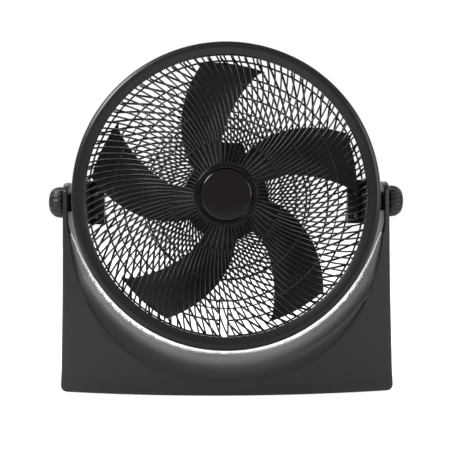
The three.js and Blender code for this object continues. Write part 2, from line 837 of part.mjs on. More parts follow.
function makeCordGland() {
  const collar = glandRod(glandR + 2, -coverR - 2 - glandCollar, -coverR - seatGap, glandBoreR);
  return collar.add(glandRod(glandR, -coverR - 1, -coverR + coverWall + 4, glandBoreR));
}

const switchSize = [28, 20, 30]; // width, depth, height
function makeSwitch() {
  const [width, depth, height] = switchSize;
  const back = coverBack - coverWall - seatGap;
  const shape = roundedShape([
    [-width / 2, knobSeat - height / 2, 2],
    [width / 2, knobSeat - height / 2, 2],
    [width / 2, knobSeat + height / 2, 2],
    [-width / 2, knobSeat + height / 2, 2],
  ]);
  const bore = rod(boreFor(spindleR, seatGap), back - spindleRoot, back + 5, smallSteps / 2);
  return slab(shape, 'y', back - depth, back, 2).subtract(bore.translate([0, 0, knobSeat]));
}

function makeSpindle() {
  const from = coverBack - coverWall - spindleRoot;
  return rod(spindleR, from, coverBack + spindleGrip, smallSteps / 2).translate([0, 0, knobSeat]);
}

// The speed knob: a skirt with a raised finger bar across it.
function makeSpeedKnob() {
  const front = coverBack + seatGap;
  const skirt = turned([
    [0, front],
    [speedKnobR, front],
    [speedKnobR - 1, front + 5],
    [speedKnobR - 4, front + 6],
    [0, front + 6],
  ], smallSteps);
  const bar = slab(roundedShape([
    [-4, -speedKnobR + 4, 3],
    [4, -speedKnobR + 4, 3],
    [2.5, speedKnobR - 3, 2],
    [-2.5, speedKnobR - 3, 2],
  ]), 'y', front + 3, front + speedKnobLength, 3);
  const socket = rod(boreFor(spindleR, seatGap), front - 1, front + spindleGrip, smallSteps / 2);
  return skirt.add(bar).subtract(socket).translate([0, 0, knobSeat]);
}

const capacitorSize = [22, 18, 38]; // width, depth, height
const capacitorInset = 18.7; // from the housing's side
function makeCapacitor() {
  const [width, depth, height] = capacitorSize;
  const back = coverBack - coverWall - seatGap;
  const side = capacitorInset - coverR;
  const shape = roundedShape([
    [side, -height / 2, 3],
    [side + width, -height / 2, 3],
    [side + width, height / 2, 3],
    [side, height / 2, 3],
  ]);
  return slab(shape, 'y', back - depth, back, 2);
}

// ---------------------------------------------------------------------------------------------
// Base: one form, rolled down to the saddle in a dish, hollowed and split into two shells
// ---------------------------------------------------------------------------------------------
const faceDepth = (x) =>
  baseFrontMiddle + (baseFrontSide - baseFrontMiddle) * (x / baseHalfWidth) ** 2;

function baseOutline(inset) {
  const top = pivotHeight + armR - inset;
  const shoulder = pivotHeight - armR;
  const low = baseHalfWidth - inset;
  const high = armHalfWidth - inset;
  const bottom = baseBottom + inset;
  return roundedShape([
    [-low, bottom, baseCorner],
    [low, bottom, baseCorner],
    [high, shoulder],
    [high, top, armEdge],
    [-high, top, armEdge],
    [-high, shoulder],
  ]);
}

function baseSide(inset) {
  const radius = armR - inset;
  const toe = new THREE.Vector2(baseRear - inset, baseBottom + baseToe);
  const centre = new THREE.Vector2(pivotDepth, pivotHeight);
  const reach = toe.clone().sub(centre);
  const tangent = reach.angle() + Math.acos(radius / reach.length()) - 2 * Math.PI;
  const front = pivotDepth - radius;
  const shape = new THREE.Shape();
  const ahead = baseFrontMiddle - 20;
  shape.moveTo(ahead, baseBottom);
  shape.lineTo(toe.x, baseBottom);
  shape.lineTo(toe.x, toe.y);
  shape.absarc(centre.x, centre.y, radius, tangent, Math.PI, false);
  shape.lineTo(front, pivotHeight - armR);
  shape.lineTo(ahead, pivotHeight - armR);
  shape.closePath();
  return shape;
}

function basePlan(inset) {
  const w = baseHalfWidth - inset;
  const stations = 8;
  const front = [];
  const rear = [];
  for (let k = 1; k < stations; k++) {
    const x = -w + (2 * w * k) / stations;
    front.push([x, faceDepth(x) + inset]);
    rear.push([-x, baseRear - inset - baseRearBow * (x / w) ** 2]);
  }
  const side = faceDepth(w) + inset;
  const rearSide = baseRear - inset - baseRearBow;
  return roundedShape([[-w, side, baseEdge], ...front, [w, side, baseEdge],
    [w, rearSide, baseEdge * 2], ...rear, [-w, rearSide, baseEdge * 2]]);
}

function baseForm(inset) {
  const wide = baseHalfWidth * 2;
  return slab(baseOutline(inset), 'y', -headR, headR * 2, 4)
    .intersect(slab(baseSide(inset), 'x', -wide, wide, 6))
    .intersect(slab(basePlan(inset), 'z', 0, axisHeight * 2, 4));
}

// The space that the head, the dish and the gap between the arms take out of the base. It is
// lofted through circles whose centre climbs from the dish's to the head's as they go back, and
// sinks again behind the saddle, so that daylight shows under the head.
function cradleSpace(grow) {
  const steps = 40;
  const circle = (quarter, depthOf, sunk = 0) => {
    const climbed = Math.sin(quarter);
    const r = THREE.MathUtils.lerp(dishR, cradleR, climbed) + grow;
    const z = axisHeight - dishDrop * (1 - climbed) - sunk;
    const points = [];
    for (let k = 0; k < steps; k++) {
      const turn = (k / steps) * 2 * Math.PI;
      const x = r * Math.sin(turn);
      points.push(new THREE.Vector3(x, depthOf(x), z + r * Math.cos(turn)));
    }
    return points;
  };
  const rollSteps = 3;
  const rings = [circle(0, () => -headR)];
  for (let k = 0; k <= rollSteps; k++) {
    const quarter = ((k / rollSteps) * Math.PI) / 2;
    const forward = 1 - Math.cos(quarter);
    rings.push(circle(quarter, (x) => THREE.MathUtils.lerp(faceDepth(x), dishLip, forward) + grow));
  }
  rings.push(circle(Math.PI / 2, () => saddleRear));
  rings.push(circle(Math.PI / 2, () => headR * 2, (headR * 2 - saddleRear) * saddleFall));
  const inner = armInnerX + grow;
  const gap = roundedShape([
    [-inner, axisHeight * 2],
    [-inner, pivotHeight - washerR - armFoot - grow, armFoot],
    [-cradleR * 0.95, pivotHeight - washerR - armFoot * 5 - grow],
    [cradleR * 0.95, pivotHeight - washerR - armFoot * 5 - grow],
    [inner, pivotHeight - washerR - armFoot - grow, armFoot],
    [inner, axisHeight * 2],
  ]);
  return lofted(rings).add(slab(gap, 'y', -headR, headR * 2, 4));
}

function baseCavity() {
  const roof = slab(shapeOf([
    [-baseHalfWidth, 0],
    [baseHalfWidth, 0],
    [baseHalfWidth, pivotHeight - armR - 8],
    [-baseHalfWidth, pivotHeight - armR - 8],
  ]), 'y', -headR, headR * 2);
  return baseForm(baseWall).intersect(roof).subtract(cradleSpace(baseWall));
}

function makeBaseShells() {
  const reach = baseHalfWidth * 2;
  const cut = (from, to) =>
    slab(shapeOf([[-reach, 0], [reach, 0], [reach, reach], [-reach, reach]]), 'y', from, to);
  const stud = acrossPivot(studR + 1.2, -reach, reach).translate([0, 0, axisHeight]);
  const shell = baseForm(0).subtract(cradleSpace(0)).subtract(baseCavity()).subtract(stud);
  return {
    front: shell.intersect(cut(-headR, shellSplit - seatGap / 2)),
    rear: shell.intersect(cut(shellSplit + seatGap / 2, headR * 2)),
  };
}

function makeFoot(depth) {
  const pad = rod(footR, 0, baseBottom - seatGap, motorSteps);
  return pad.rotate([90, 0, 0]).translate([baseHalfWidth - footInset, depth, 0]);
}

// ---------------------------------------------------------------------------------------------
// The scene graph
// ---------------------------------------------------------------------------------------------
const left = (piece) => piece.mirror([1, 0, 0]);
const sides = [['right', (piece) => piece], ['left', left]];

const head = new THREE.Group();
head.position.z = axisHeight;
head.add(node('front_guard', makeFrontGuard(), guardBlack));
frontRings.forEach((r, i) => {
  head.add(node(`front_guard_ring_${i + 1}`, makeFrontRing(r), guardBlack));
});
head.add(node('hub_badge', makeBadge(), badgeBlack));
head.add(node('drum', makeDrum(), satinBlack));
head.add(node('rear_guard', makeRearGuard(), guardBlack));
[rearCornerR, ...rearRings].forEach((r, i) => {
  head.add(node(`rear_guard_ring_${i + 1}`, makeRearRing(r), guardBlack));
});
head.add(node('motor_front_bell', makeFrontBell(), castMetal));
head.add(node('motor_rear_bell', makeRearBell(), castMetal));
head.add(node('stator_core', makeStator(), laminatedSteel));
head.add(node('front_winding', makeWinding(statorFront - seatGap, bellFront + motorWall + 1), copperWire));
head.add(node('rear_winding', makeWinding(statorRear + seatGap, motorRear - motorWall - 1), copperWire));
head.add(node('front_bearing', makeBearing(noseFront + 0.5), bronze));
head.add(node('rear_bearing', makeBearing(rearBearing - 1), bronze));
head.add(node('control_cover', makeControlCover(), satinBlack));
head.add(node('speed_switch', makeSwitch(), nylon));
head.add(node('capacitor', makeCapacitor(), nylon));
head.add(node('cord_gland', makeCordGland(), rubberBlack));

const impeller = new THREE.Group();
impeller.add(node('impeller_blades', makeBlades(), bladeBlack));
impeller.add(node('motor_shaft', makeShaft(), bareSteel));
impeller.add(node('rotor', makeRotor(), laminatedSteel));
impeller.add(node('blade_nut', makeBladeNut(), bladeBlack));
head.add(impeller);

const speedControl = new THREE.Group();
speedControl.add(node('speed_knob', makeSpeedKnob(), satinBlack));
speedControl.add(node('switch_spindle', makeSpindle(), bareSteel));
head.add(speedControl);

for (const [side, placed] of sides) {
  head.add(node(`${side}_pivot_block`, placed(makePivotBlock()), satinBlack));
  head.add(node(`${side}_tilt_knob`, placed(makeTiltKnob()), satinBlack));
  head.add(node(`${side}_knob_stud`, placed(makeStud()), bareSteel));
}

const base = new THREE.Group();
const shells = makeBaseShells();
base.add(node('base_front_shell', shells.front, baseBlack));
base.add(node('base_rear_shell', shells.rear, baseBlack));
for (const [side, placed] of sides) {
  const washer = placed(makeWasher()).translate([0, 0, axisHeight]);
  base.add(node(`${side}_friction_washer`, washer, satinBlack));
  const frontDepthOfFoot = baseFrontSide + frontFootInset;
  base.add(node(`${side}_front_foot`, placed(makeFoot(frontDepthOfFoot)), rubberBlack));
  base.add(node(`${side}_rear_foot`, placed(makeFoot(baseRear - rearFootInset)), rubberBlack));
}

const fan = new THREE.Group();
fan.position.y = -originDepth;
fan.add(base, head);

export default fan;
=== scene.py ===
# %% [markdown]
# # An air circulator fan
# A round head with five swept blades stands between the arms of a broad base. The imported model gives
# every piece its place and size; here each piece that shows is made again as a fine surface and given
# its finish. Lengths in this script are millimetres until a mesh is made, as on a maker's drawing.

# %% Load the frame
import math

import bmesh
import bpy
import numpy as np
from mathutils import Euler, Matrix, Vector


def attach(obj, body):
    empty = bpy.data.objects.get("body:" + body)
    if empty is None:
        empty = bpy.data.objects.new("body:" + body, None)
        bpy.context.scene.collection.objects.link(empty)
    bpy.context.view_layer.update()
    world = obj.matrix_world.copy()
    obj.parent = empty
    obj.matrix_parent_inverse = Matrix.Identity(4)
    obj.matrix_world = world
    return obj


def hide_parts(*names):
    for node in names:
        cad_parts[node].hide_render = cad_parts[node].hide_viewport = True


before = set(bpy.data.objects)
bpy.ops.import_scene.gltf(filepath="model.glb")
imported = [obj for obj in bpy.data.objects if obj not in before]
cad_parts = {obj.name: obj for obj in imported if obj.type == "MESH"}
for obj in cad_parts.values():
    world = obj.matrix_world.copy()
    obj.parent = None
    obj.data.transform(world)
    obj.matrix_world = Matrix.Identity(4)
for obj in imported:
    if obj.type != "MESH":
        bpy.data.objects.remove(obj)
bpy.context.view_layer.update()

# %% [markdown]
# ## Camera
# The picture was taken from the height of the fan's middle, by a camera that looked down by less than
# a degree and leaned by a quarter of one. Its place comes from how the round head, the knobs and the
# corners of the base line up, so the same drawing falls on the same places of the picture.

# %% Camera
PICTURE = 450  # picture width and height in pixels
FOCAL_PIXELS = 687.8
OFF_CENTRE = (-1.2, 10.9)  # the optical axis misses the picture's middle by this much
CAMERA_PLACE = (-0.004, -1.1976, 0.2793)
LOOKS_DOWN, LEANS = 0.633, -0.25  # degrees


def new_object(name, data):
    made = bpy.data.objects.new(name, data)
    bpy.context.scene.collection.objects.link(made)
    return made


camera_data = bpy.data.cameras.new("camera")
camera_data.sensor_width = 36
camera_data.lens = FOCAL_PIXELS / PICTURE * camera_data.sensor_width
camera_data.shift_x = -OFF_CENTRE[0] / PICTURE
camera_data.shift_y = OFF_CENTRE[1] / PICTURE
camera = new_object("camera", camera_data)
aim = Euler((math.radians(90 - LOOKS_DOWN), 0, 0)).to_matrix().to_4x4()
camera.matrix_world = Matrix.Translation(CAMERA_PLACE) @ aim @ Matrix.Rotation(math.radians(LEANS), 4, "Z")
bpy.context.scene.camera = camera
print("lens:", round(camera_data.lens, 2), "mm")

# %% [markdown]
# ## Drawing tools
# Most of the fan is turned or drawn along a path, so its surfaces are grids of points. `grid` joins rows
# of points into faces, `turned` spins a profile round an axis, `layers` stacks outlines in depth, and
# `rounded` softens corners first: moulded plastic has no sharp edges, and only a round one catches light.

# %% Grids, turned shapes and rounded profiles
AXIS_HEIGHT = 332
ORIGIN_DEPTH = 70.75  # depths are counted back from the bezel's crown


def in_depth(x, depth, z):
    """Points from x, the depth behind the crown and the height over the floor."""
    return np.stack(np.broadcast_arrays(x, np.subtract(depth, ORIGIN_DEPTH), z), -1)


def on_head(r, clock, depth):
    """Points of the head from radius, clock angle from the top in radians, and depth."""
    return in_depth(r * np.sin(clock), depth, AXIS_HEIGHT + r * np.cos(clock))


def full_turn(steps):
    return np.linspace(0, 2 * np.pi, steps, endpoint=False)


def unit(vectors):
    return vectors / np.linalg.norm(vectors, axis=1)[:, None]


def grid(rows, loop=False):
    """Faces over rows of points, each row closed; loop joins the last row to the first."""
    rows = np.asarray(rows, float)
    count, width = rows.shape[:2]
    faces = []
    for i in range(count if loop else count - 1):
        here, there = i * width, (i + 1) % count * width
        for j in range(width):
            k = (j + 1) % width
            faces.append((here + j, here + k, there + k, there + j))
    if not loop:
        faces += [tuple(range(width))[::-1], tuple(range((count - 1) * width, count * width))]
    return rows.reshape(-1, 3), faces


def layers(lines, z=AXIS_HEIGHT):
    """A body from outlines seen from the front, each with its depth."""
    return grid([in_depth(line[:, 0], depth, z + line[:, 1]) for line, depth in lines])


def rounded(corners, radius=1.0, steps=4, closed=True):
    """A profile with its corners rounded; a corner may give its own radius as a third number."""
    spots, count, out = [np.array(corner[:2], float) for corner in corners], len(corners), []
    for i, (corner, here) in enumerate(zip(corners, spots)):
        before, after = spots[i - 1] - here, spots[(i + 1) % count] - here
        lengths = np.linalg.norm(before), np.linalg.norm(after)
        r = min(corner[2] if len(corner) > 2 else radius, 0.48 * min(lengths))
        if r < 1e-6 or not closed and i in (0, count - 1):
            out.append(here)
            continue
        a, b = here + before / lengths[0] * r, here + after / lengths[1] * r
        for t in np.linspace(0, 1, steps + 1):
            out.append((1 - t) ** 2 * a + 2 * t * (1 - t) * here + t * t * b)
    return np.array(out)


def turned(profile, steps=192, centre=None, along="y"):
    """A closed profile of (radius, distance) spun round an axis of the head, or round a given one."""
    r, far = np.asarray(profile, float).T[:, None]
    turn = full_turn(steps)[:, None]
    if centre is None:
        return grid(on_head(r, turn, far), loop=True)
    u, v = r * np.sin(turn), r * np.cos(turn)
    far = np.broadcast_to(far, u.shape)
    order = {"x": (far, u, v), "y": (u, far, v), "z": (u, v, far)}[along]
    return grid(np.stack(order, -1) + np.array(centre, float), loop=True)


print("the head's axis is", AXIS_HEIGHT, "mm over the floor")

# %% [markdown]
# A finished surface becomes an object in one place, `make_piece`. It turns millimetres into metres, joins
# points that coincide, points all faces outwards, and marks the edges that are really sharp, so that the
# rest can be shaded smooth. It also hangs the piece on the body that carries it and hides the imported
# solids it stands for.

# %% Make a piece
SHARP = math.radians(38)


def start_mesh(name, surfaces):
    """A mesh in metres that holds several surfaces, and the same mesh open for editing."""
    starts = np.cumsum([0] + [len(points) for points, _ in surfaces]).tolist()
    faces = [tuple(start + i for i in face) for start, (_, some) in zip(starts, surfaces) for face in some]
    mesh = bpy.data.meshes.new(name)
    mesh.from_pydata((np.concatenate([points for points, _ in surfaces]) * 0.001).tolist(), [], faces)
    bm = bmesh.new()
    bm.from_mesh(mesh)
    return mesh, bm


def close_mesh(name, mesh, bm):
    bm.to_mesh(mesh)
    bm.free()
    return new_object(name, mesh)


def make_piece(name, surfaces, body, finish, stands_for=(), sharp=SHARP):
    mesh, bm = start_mesh(name, surfaces)
    bmesh.ops.remove_doubles(bm, verts=bm.verts, dist=2e-6)
    bmesh.ops.dissolve_degenerate(bm, edges=bm.edges, dist=1e-6)
    bmesh.ops.recalc_face_normals(bm, faces=bm.faces)
    for edge in bm.edges:
        edge.smooth = len(edge.link_faces) == 2 and edge.calc_face_angle(0) < sharp
    for face in bm.faces:
        face.smooth = True
    piece = close_mesh(name, mesh, bm)
    mesh.materials.append(finish)
    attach(piece, body)
    if stands_for:
        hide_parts(*stands_for)
    print(f"{name}: {len(mesh.polygons)} faces")
    return piece


# %% [markdown]
# ## Finishes
# All the black parts are injection-moulded plastic, but each came from its own tool: the base is satin,
# the guards a little darker, the blades matt. What they share is a fine grain, faint cloudiness from
# handling, and edges painted slightly lighter, partly as wear from rubbing and partly as a painted
# highlight along the edges. That shared surface is a node group with named inputs; the shader itself
# stays in each material with its own plain numbers.

# %% Tools for shader nodes
def fill(tree, node, values):
    """Give a node's inputs their values; a socket of another node becomes a link."""
    for label, value in values.items():
        if isinstance(value, bpy.types.NodeSocket):
            tree.links.new(value, node.inputs[label])
        else:
            node.inputs[label].default_value = value
    return node


def source(tree, kind, output):
    return tree.nodes.new("ShaderNode" + kind).outputs[output]


def axes_of(tree, coordinates):
    node = tree.nodes.new("ShaderNodeSeparateXYZ")
    return fill(tree, node, {"Vector": source(tree, "TexCoord", coordinates)}).outputs


def calculate(tree, operation, a, b=0):
    node = tree.nodes.new("ShaderNodeMath")
    node.operation = operation
    return fill(tree, node, {0: a, 1: b}).outputs[0]


def noise(tree, where, scale, detail):
    node = tree.nodes.new("ShaderNodeTexNoise")
    return fill(tree, node, {"Vector": where, "Scale": scale, "Detail": detail}).outputs["Fac"]


def mixed(tree, kind, factor, a, b):
    node = tree.nodes.new("ShaderNodeMix")
    node.data_type = kind
    return fill(tree, node, {"Factor": factor, "A": a, "B": b}).outputs["Result"]


def ramp(tree, value, start, end, low=0, high=1):
    node = tree.nodes.new("ShaderNodeMapRange")
    limits = {"From Min": start, "From Max": end, "To Min": low, "To Max": high}
    return fill(tree, node, {"Value": value, **limits}).outputs["Result"]


def new_group(name, inputs, outputs):
    """A node group: inputs names each input with its start value, outputs each output with its kind."""
    group = bpy.data.node_groups.new(name, "ShaderNodeTree")
    for label, value in inputs.items():
        kind = "Float" if isinstance(value, float) else {3: "Vector", 4: "Color"}[len(value)]
        socket = group.interface.new_socket(name=label, in_out="INPUT", socket_type="NodeSocket" + kind)
        socket.default_value = value
    for label, kind in outputs.items():
        group.interface.new_socket(name=label, in_out="OUTPUT", socket_type="NodeSocket" + kind)
    print("group:", name, "gives", list(outputs))
    return group, group.nodes.new("NodeGroupInput").outputs, group.nodes.new("NodeGroupOutput")


# %% The shared moulded surface
# The edge range is the pointiness over which edges are painted lighter: partly wear, partly a painted
# highlight.
CLOUD_SCALE, EDGE_RANGE = 14, (0.515, 0.6)
moulded, given, put = new_group(
    "moulded_surface",
    {"Color": (0.02, 0.02, 0.02, 1), "Wear And Sheen Color": (0.1, 0.1, 0.1, 1), "Wear And Sheen Edges": 0.3,
     "Roughness": 0.4, "Cloudiness": 0.06, "Grain Scale": 1400.0},
    {"Color": "Color", "Roughness": "Float", "Height": "Float"})
place = source(moulded, "TexCoord", "Object")
cloud = calculate(moulded, "SUBTRACT", noise(moulded, place, CLOUD_SCALE, 4), 0.5)
drift = calculate(moulded, "MULTIPLY", cloud, given["Cloudiness"])
# Pointed edges get the lighter colour: partly wear from rubbing, partly a painted highlight.
edges = ramp(moulded, source(moulded, "NewGeometry", "Pointiness"), *EDGE_RANGE)
wear_and_sheen = calculate(moulded, "MULTIPLY", edges, given["Wear And Sheen Edges"])
fill(moulded, put, {"Color": mixed(moulded, "RGBA", wear_and_sheen, given["Color"], given["Wear And Sheen Color"]),
                    "Roughness": calculate(moulded, "ADD", given["Roughness"], drift),
                    "Height": noise(moulded, place, given["Grain Scale"], 1)})

# %% [markdown]
# ## Plastics and rubber
# Each finish below names its colour, how rough it is and how deep its grain goes. Black plastic looks
# lighter than its pigment, because a twenty-fifth of the light from a white room comes straight off the
# surface, so the pigments are nearly black.

# %% Plastics and rubber
def finish_from(name, color, group, on_group, on_shader, bump_depth, bump_strength=1.0):
    """A material that takes colour, bump and, where the group gives one, roughness from a group."""
    material = bpy.data.materials.new(name)
    material.use_nodes = True
    material.diffuse_color = (*color, 1)
    tree = material.node_tree
    surface = tree.nodes.new("ShaderNodeGroup")
    surface.node_tree = group
    out = fill(tree, surface, {"Color": (*color, 1), **on_group}).outputs
    bump = fill(tree, tree.nodes.new("ShaderNodeBump"),
                {"Strength": bump_strength, "Distance": bump_depth, "Height": out["Height"]})
    linked = {"Base Color": out["Color"], "Normal": bump.outputs["Normal"]}
    if "Roughness" in out:
        linked["Roughness"] = out["Roughness"]
    fill(tree, tree.nodes["Principled BSDF"], {**linked, **on_shader})
    return material


def plastic(name, color, roughness, wear_and_sheen=0.1, wear_and_sheen_color=(0.09, 0.09, 0.095), cloudiness=0.06,
            grain_depth=0.012, coat=0.0, specular=0.5):
    on_group = {"Wear And Sheen Color": (*wear_and_sheen_color, 1), "Wear And Sheen Edges": wear_and_sheen, "Roughness": roughness,
                "Cloudiness": cloudiness}
    on_shader = {"Coat Weight": coat, "Coat Roughness": 0.08, "Specular IOR Level": specular}
    return finish_from(name, color, moulded, on_group, on_shader, grain_depth * 0.001, 0.5)


# Each finish's edge value paints its edges lighter, partly as wear and partly as a painted highlight; the
# guard's ribs take the most.
base_plastic = plastic("base_plastic", (0.0175, 0.0175, 0.0185), 0.36, wear_and_sheen=0.15)
bezel_plastic = plastic("bezel_plastic", (0.009, 0.009, 0.0095), 0.26)
guard_plastic = plastic("guard_plastic", (0.004, 0.004, 0.0043), 0.27, wear_and_sheen=0.3,
                        wear_and_sheen_color=(0.07, 0.07, 0.075), specular=0.4)
hub_plastic = plastic("hub_plastic", (0.003, 0.003, 0.0032), 0.2, specular=0.25)
# The front rings are moulded with the guard; their plastic is painted lighter than the guard's as a painted
# highlight along the wires.
wire_sheen_plastic = plastic("wire_sheen_plastic", (0.02, 0.02, 0.021), 0.3)
blade_plastic = plastic("blade_plastic", (0.032, 0.032, 0.0325), 0.5, specular=0.4)
knob_plastic = plastic("knob_plastic", (0.011, 0.011, 0.0115), 0.3, wear_and_sheen=0.25)
badge_plastic = plastic("badge_plastic", (0.0075, 0.0045, 0.0065), 0.12, wear_and_sheen=0.0, cloudiness=0.03,
                        grain_depth=0.001, coat=0.25, specular=0.22)
rubber = plastic("rubber", (0.012, 0.012, 0.012), 0.75, grain_depth=0.03, specular=0.3)
natural_plastic = plastic("natural_plastic", (0.66, 0.65, 0.6), 0.45, wear_and_sheen=0.2,
                          wear_and_sheen_color=(0.8, 0.79, 0.75))
print("plastics:", len(bpy.data.materials))

# %% [markdown]
# ## Metals
# The motor hides inside the hub, but it is there, so its metals get finishes of their own: cast bells,
# a core pressed from steel sheets, copper windings and turned steel. The sheets and the wire are both
# fine stripes, so one group makes stripes along an axis, for the core's edge and for the winding.

# %% Stripes, and the metals that use them
stripes, given, put = new_group(
    "fine_stripes",
    {"Axis": (0, 1, 0), "Pitch": 0.0006, "Color": (0.4, 0.4, 0.4, 1), "Groove Color": (0.1, 0.1, 0.1, 1)},
    {"Color": "Color", "Height": "Float"})
reach = stripes.nodes.new("ShaderNodeVectorMath")
reach.operation = "DOT_PRODUCT"
fill(stripes, reach, {0: source(stripes, "TexCoord", "Object"), 1: given["Axis"]})
turns = calculate(stripes, "DIVIDE", reach.outputs["Value"], given["Pitch"])
swing = calculate(stripes, "SINE", calculate(stripes, "MULTIPLY", turns, 2 * math.pi))
level = calculate(stripes, "ADD", calculate(stripes, "MULTIPLY", swing, 0.5), 0.5)
fill(stripes, put, {"Color": mixed(stripes, "RGBA", level, given["Groove Color"], given["Color"]),
                    "Height": level})

METAL_GRAIN = 0.00006


def metal(name, color, roughness, groove=None, pitch=0.0006):
    if groove:
        return finish_from(name, color, stripes, {"Groove Color": (*groove, 1), "Pitch": pitch},
                           {"Metallic": 1.0, "Roughness": roughness}, METAL_GRAIN)
    # Metal edges are painted lighter too: partly wear, partly a painted highlight.
    wear_and_sheen_color = [min(1, c * 1.3) for c in color]
    return finish_from(name, color, moulded, {"Wear And Sheen Color": (*wear_and_sheen_color, 1), "Roughness": roughness},
                       {"Metallic": 1.0}, METAL_GRAIN)


turned_steel = metal("turned_steel", (0.55, 0.55, 0.56), 0.3)
cast_metal = metal("cast_metal", (0.45, 0.46, 0.47), 0.5)
sheet_steel = metal("sheet_steel", (0.3, 0.3, 0.31), 0.45, groove=(0.08, 0.08, 0.08))
copper_wire = metal("copper_wire", (0.55, 0.22, 0.08), 0.35, groove=(0.15, 0.05, 0.02), pitch=0.0009)
bearing_bronze = metal("bearing_bronze", (0.45, 0.3, 0.12), 0.45)
print("materials:", [m.name for m in bpy.data.materials])

# %% [markdown]
# ## Bezel and drum
# The bezel is the wide band that frames the grille. Its crown is nearest to the viewer; from there the
# face falls back a little to the opening, and on the outside it turns over a tight shoulder into the
# drum. Both are rings of one section, so each is a turned profile with rounded corners.

# %% Bezel and drum
HEAD_R, OPENING_R, CROWN_R = 256.5, 233, 247.5
WALL = 2.5
BEZEL_DEPTH, DRUM_DEPTH, DRUM_FRONT = 34, 70, 20
DRUM_R = HEAD_R - WALL - 0.3
DRUM_IN_R = DRUM_R - WALL
RING_STEPS = 320

bezel = rounded([
    (OPENING_R, 6, 1.2), (CROWN_R - 2, 0.5, 6), (HEAD_R - 3.2, 2.6, 3), (HEAD_R, 10.5, 5),
    (HEAD_R, BEZEL_DEPTH, 0.7), (HEAD_R - WALL, BEZEL_DEPTH, 0.5), (HEAD_R - WALL, 11, 4), (CROWN_R, 3.5, 4),
    (OPENING_R + WALL, 8.5, 1), (OPENING_R + WALL, 14, 0.8), (OPENING_R, 14, 0.8)], steps=6)
make_piece("bezel", [turned(bezel, RING_STEPS)], "head", bezel_plastic, ["front_guard"])

PIVOT_DEPTH, PIVOT_DROP = 66, 6.4
PIVOT_Z = AXIS_HEIGHT - PIVOT_DROP
BOSS_R = 17


def drum_surface():
    """The drum's shell; its rear edge is notched on both sides where the pivot bosses pass."""
    clock = full_turn(RING_STEPS)
    height = DRUM_R * np.cos(clock) + PIVOT_DROP
    notch = np.sqrt(np.maximum((BOSS_R + 0.6) ** 2 - height ** 2, 0))
    rear = np.where(notch > 0, np.minimum(DRUM_DEPTH, PIVOT_DEPTH - notch), DRUM_DEPTH)
    profile = [(DRUM_IN_R, DRUM_FRONT), (DRUM_R, DRUM_FRONT), (DRUM_R, rear - 0.5), (DRUM_R - 0.5, rear),
               (DRUM_IN_R + 0.5, rear), (DRUM_IN_R, rear - 0.5)]
    return grid(np.stack([on_head(r, clock, depth) for r, depth in profile], 1), loop=True)


make_piece("drum_shell", [drum_surface()], "head", bezel_plastic, ["drum"])

# %% [markdown]
# ## Front ribs
# Sixty ribs leave the hub and sixty more start at the first ring, so the gaps stay too narrow for a
# finger. Each rib hooks forwards beside the hub and sweeps back outside it, following a power of the
# distance from the turn. A rib is a small section with a rounded nose, drawn along that path; the
# dome's own curve gives its depth.

# %% Front ribs and rings
HUB_R, HUB_FORWARD, RIB_INSET, DOME_CURVE = 51, 43.5, 0.6, 1.6
RIB_TURN_R, RIB_HOOK, RIB_SWEEP = 86, 0.0105, 0.00665
FRONT_RIBS, FRONT_PHASE = 60, 5.06
RIB_WIDTH, RIB_DEPTH, RIB_NOSE = 2.8, 4.5, 1.0
FRONT_RINGS, FRONT_WIRE = (89, 137, 185), 2.2


def front_depth(r):
    out = (r - HUB_R) / (OPENING_R - HUB_R)
    fallen = 1 - np.sign(1 - out) * np.abs(1 - out) ** DOME_CURVE
    return -HUB_FORWARD + (HUB_FORWARD + 6 + RIB_INSET) * fallen


def front_clock(r):
    away = np.abs(r - RIB_TURN_R) ** 1.5
    return np.radians(-np.where(r < RIB_TURN_R, RIB_HOOK, RIB_SWEEP) * away)


def rib_section(width, depth, nose_width):
    """Half widths and heights of a rib's section, from its back to its rounded nose and round again."""
    side = [(width / 2, depth), (width / 2, depth * 0.6)]
    turn = np.radians([0, 35, 70, 110, 145, 180])
    nose = [(nose_width / 2 * math.cos(a), nose_width / 2 * (1 - math.sin(a))) for a in turn]
    return np.array(side + nose + [(-w, d) for w, d in side[::-1]])


def swept(section, spine, across, up):
    """Rows of a section carried along a line: its widths go across, its heights up."""
    return spine[:, None] + section[None, :, :1] * across[:, None] + section[None, :, 1:] * up[:, None]


FRONT_SECTION = rib_section(RIB_WIDTH, RIB_DEPTH, RIB_NOSE)


def front_rib(start, radii):
    clock = math.radians(start) + front_clock(radii)
    spine = on_head(radii, clock, front_depth(radii))
    run = np.gradient(spine, axis=0)
    run[:, 1] = 0
    run = unit(run)
    across = np.stack([run[:, 2], np.zeros(len(run)), -run[:, 0]], 1)
    return grid(swept(FRONT_SECTION, spine, across, np.array([[0, 1, 0]])))


long_radii = np.linspace(HUB_R - 1.5, OPENING_R + 1.2, 30)
short_radii = np.linspace(FRONT_RINGS[0] - 1, OPENING_R + 1.2, 24)
front_ribs = [front_rib(FRONT_PHASE + (k + share) * 360 / FRONT_RIBS, radii)
              for k in range(FRONT_RIBS) for share, radii in ((0, long_radii), (0.5, short_radii))]
make_piece("front_ribs", front_ribs, "head", guard_plastic, ["front_guard"])


def wire(r, depth, thickness, clock, loop=True):
    """A round wire bent round the head's axis, through the given clock angles."""
    turn = full_turn(10)
    section = r + thickness / 2 * np.sin(turn), depth + thickness / 2 * np.cos(turn)
    return grid(on_head(section[0], clock[:, None], section[1]), loop=loop)


# The front rings take the lighter plastic: a painted highlight along the wires.
for number, r in enumerate(FRONT_RINGS, 1):
    behind = front_depth(np.array(float(r))) + RIB_DEPTH + 0.9
    make_piece(f"front_ring_{number}", [wire(r, behind, FRONT_WIRE, full_turn(256))], "head", wire_sheen_plastic,
               [f"front_guard_ring_{number}"])

# %% [markdown]
# The hub is a shallow cup with a raised rim, and a glossy domed disc sits in it. In the picture the disc
# carries a word and a sign; here it stays bare.

